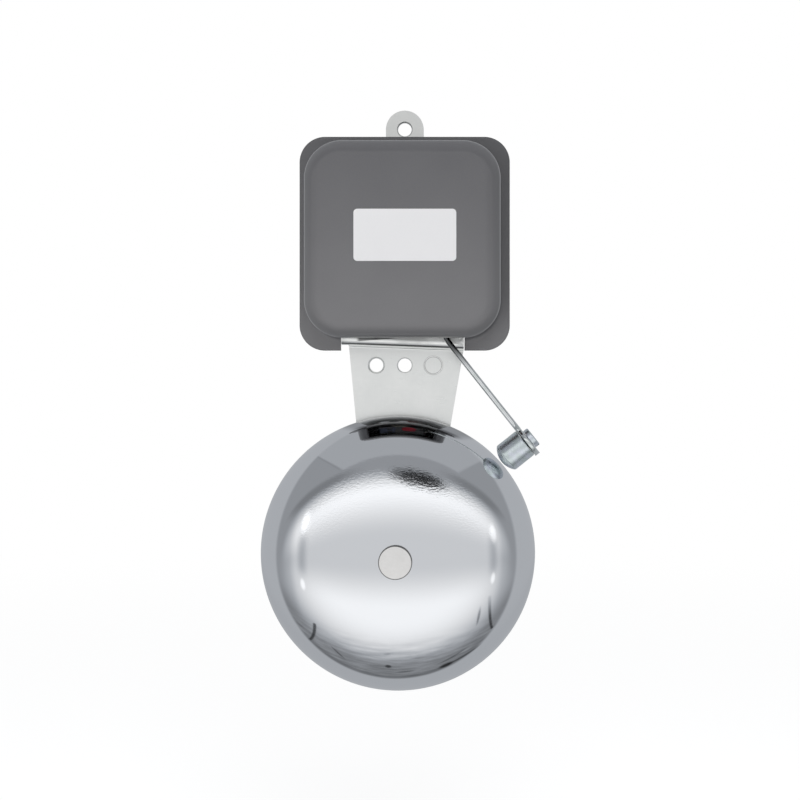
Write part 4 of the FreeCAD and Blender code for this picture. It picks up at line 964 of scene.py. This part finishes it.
route = np.concatenate([button, start_run, curve[1:], end_run])

past_eye = (eye - route) @ up_wire - EYE_PAST
on_disc = np.abs(past_eye) < EYE_R
disc = np.sqrt(np.clip(EYE_R ** 2 - past_eye ** 2, 0, None))
swell = NECK_SWELL * np.exp(-((past_eye + EYE_R) / NECK_REACH) ** 2)
neck = (WIRE_R + swell) * (past_eye < 0)
half_width = np.maximum(np.maximum(disc, neck), LEAST_WIDTH)
half_thick = np.where(on_disc, EYE_HALF, WIRE_R)
half_width[:4] = half_thick[:4] = [wide for _, wide in BUTTON] + [BUTTON[-1][1]]
wire = new_piece("hammer_wire_round", tube(route, half_width, half_thick,
                                           np.where(on_disc, EYE_SQUARENESS, 1.0)))
stands_for(wire, "hammer_wire", body="hammer_arm")

# %% [markdown]
# ## The box
#
# The box is drawn from one steel sheet in a press: a flat front with a generous rounding, steep
# walls, and a brim that lies on the wall plate. It is one closed surface, from the middle of its
# front outwards, round the brim's edge and back along the inside. Each ring of it is a rectangle
# with round corners, and a profile says how far the ring is inset and how deep it lies. Offsetting
# a rounded rectangle inwards takes the same amount off its corner radius, so the sheet is equally
# thick everywhere.

# %% Rings of the box
SHEET, EDGE, FOOT, BRIM_CORNER, BRIM_ROUNDING = 0.8, 4.2, 1.2, 7.0, 0.3
FRONT, BACK = -cover_low[1], -cover_high[1]
BRIM_FRONT = BACK + SHEET
BRIM = np.array([cover_high[0] - cover_low[0], cover_high[2] - cover_low[2]]) / 2


def ring(half, corner, depth, per_corner=24, per_side=24):
    """A rectangle with round corners at one depth, with as many points for every size.

    A corner's points are its centre plus corner * (cos a, sin a) over a quarter turn, and each
    side is a straight run from one corner's end to the next one's start.
    """
    half = np.maximum(half, corner)
    arcs = []
    for number, sign in enumerate(((1, 1), (-1, 1), (-1, -1), (1, -1))):
        a = np.linspace(0, math.pi / 2, per_corner) + number * math.pi / 2
        arcs.append((half - corner) * sign + corner * np.stack([np.cos(a), np.sin(a)], -1))
    t = np.linspace(0, 1, per_side)[1:-1, None]
    flat = np.concatenate([part for arc, following in zip(arcs, arcs[1:] + arcs[:1])
                           for part in (arc, arc[-1] * (1 - t) + following[0] * t)])
    return np.stack([flat[:, 0] + cover_middle[0], np.full(len(flat), -depth),
                     flat[:, 1] + cover_middle[2]], -1)


def quarter(count):
    """Angles over a quarter turn, without the first."""
    return np.linspace(0, math.pi / 2, count)[1:]


def wall_side(sheet):
    """Rings of one side of the sheet, from the flat front over the wall to the brim.

    `sheet` is 0 for the outside and the sheet's thickness for the inside. The rounding at the
    front has inset + r (1 - sin a) and front - r (1 - cos a), over a quarter turn. The wall is
    straight, and the fillet at its foot turns the other way, outwards into the brim.
    """
    edge, foot, front, floor = EDGE - sheet, FOOT + sheet, FRONT - sheet, BRIM_FRONT - sheet
    line = [(sheet + edge * (1 - math.sin(a)), front - edge * (1 - math.cos(a)))
            for a in [0.0, *quarter(16)]]
    line += [(sheet, depth) for depth in np.linspace(front - edge, floor + foot, 14)[1:]]
    line += [(sheet - foot * (1 - math.cos(a)), floor + foot * (1 - math.sin(a)))
             for a in quarter(8)]
    return [ring(HALF - inset, CORNER - inset, depth) for inset, depth in line]


def brim_ring(pull, depth):
    """A ring of the brim's outer edge, pulled in a little."""
    return ring(BRIM - pull, BRIM_CORNER - pull, depth)


print("the front lies at depth %.2f, the back at %.2f" % (FRONT, BACK))

# %% [markdown]
# Every ring has as many points, so the rings stack to one grid. A few rings across the brim keep
# its quads short, and at the flat front the rings shrink to a point on both sides of the sheet.

# %% Stack the rings to a box
outer, inner = wall_side(0.0), wall_side(SHEET)
round_off = [(BRIM_ROUNDING * (1 - math.sin(a)), BRIM_ROUNDING * (1 - math.cos(a)))
             for a in [0.0, *quarter(5)]]
edge = [brim_ring(pull, BRIM_FRONT - drop) for pull, drop in round_off]
edge += [brim_ring(drop, BACK + pull) for pull, drop in round_off]
shares = np.linspace(0, 1, 6)[1:-1]
across_front = [outer[-1] * (1 - t) + edge[0] * t for t in shares]
across_back = [edge[-1] * (1 - t) + inner[-1] * t for t in shares]
front_pole, back_pole = outer[0].mean(0), inner[0].mean(0)
front_face = [front_pole * (1 - t) + outer[0] * t for t in (0, 0.2, 0.4, 0.6, 0.8, 0.95)]
back_face = [inner[0] * t + back_pole * (1 - t) for t in (0.95, 0.5, 0)]
box = new_piece("box_shell", np.stack(front_face + outer + across_front + edge + across_back
                                      + inner[::-1] + back_face))
print("the closed box has", len(box.data.polygons), "faces")

# %% [markdown]
# The notch in the lower wall lets the tongue and the hammer wire out. It is punched, so it is
# cut from the finished box with a block whose two inner corners are slightly round.


# %% Punch the notch
def block(name, outline, low, high):
    """A closed upright block over an outline of (x, depth) points, from one height to another.

    Its rows are the outline at the low height and at the high one, each as (x, -depth, height).
    """
    return new_piece(name, capped(np.stack([
        np.stack([outline[:, 0], -outline[:, 1], np.full(len(outline), height)], -1)
        for height in (low, high)])))


NOTCH_LEFT, NOTCH_RIGHT, NOTCH_LIP, NOTCH_CORNER = -17.50, 16.44, 4.6, 1.0
PUNCH_BELOW, PUNCH_ABOVE = 1.0, 1.3
notch_front = FRONT - NOTCH_LIP
mouth = softened([(NOTCH_LEFT, 0), (NOTCH_LEFT, notch_front), (NOTCH_RIGHT, notch_front),
                  (NOTCH_RIGHT, 0)], NOTCH_CORNER)
lower_wall = cover_middle[2] - HALF[1]
punch = block("punch", mouth, cover_low[2] - PUNCH_BELOW, lower_wall + SHEET + PUNCH_ABOVE)
cut = box.modifiers.new("notch", "BOOLEAN")
cut.operation, cut.object, cut.solver = "DIFFERENCE", punch, "EXACT"
graph = bpy.context.evaluated_depsgraph_get()
notched = bpy.data.meshes.new_from_object(box.evaluated_get(graph))
box.modifiers.clear()
box.data = notched
bpy.data.objects.remove(punch)
clean(box)
stands_for(box, "cover", body="cover_shell")

# %% [markdown]
# ## The leaf spring
#
# The armature has no pin. It hangs on a thin strip of spring steel that is bent to an L: one
# leg is riveted to the iron frame, the other to the armature, and the bend flexes a few degrees
# at each stroke. So the strip is one mesh, with a smooth bend between its two legs.
#
# The strip's middle line lies in x and z. A point of its section is the line's point, plus half
# the thickness square to the line, and plus half the width in y.

# %% Bend the leaf spring
THIN, SPRING_BEND, STRIP_CORNER = 0.35, 2.0, 0.12
spring_low, spring_high, spring_middle = span("leaf_spring")
upright_x, lying_z = spring_low[0] + THIN / 2, spring_low[2] + THIN / 2
bend = softened([(upright_x, spring_high[2]), (upright_x, lying_z), (spring_high[0], lying_z)],
                SPRING_BEND, 14)
leg = bend[0] + (bend[1] - bend[0]) * np.linspace(0, 1, 14)[:-1, None]
tail = bend[-2] + (bend[-1] - bend[-2]) * np.linspace(0, 1, 10)[1:, None]
line = np.concatenate([leg, bend[1:-1], tail])
way = np.gradient(line, axis=0)
way /= np.linalg.norm(way, axis=1)[:, None]
sideways = np.stack([-way[:, 1], way[:, 0]], -1) * THIN / 2
half_wide = (spring_high[1] - spring_low[1]) / 2
section = softened([(0, -1), (1, -1), (1, 1), (-1, 1), (-1, -1), (0, -1)], STRIP_CORNER, 3)[:-1]
strip = np.zeros((len(line), len(section), 3))
strip[..., ::2] = line[:, None] + sideways[:, None] * section[None, :, :1]
strip[..., 1] = spring_middle[1] + half_wide * section[None, :, 1]
spring = new_piece("leaf_spring_strip", capped(strip))
stands_for(spring, "leaf_spring", body=None)
(spring_low[0] + 0.2) * MM
spring_middle[1] * MM
(spring_low[0] + 2.2) * MM
spring_middle[1] * MM
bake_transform(spring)

# %% [markdown]
# ## The last step

# %% Update the scene
bpy.context.view_layer.update()
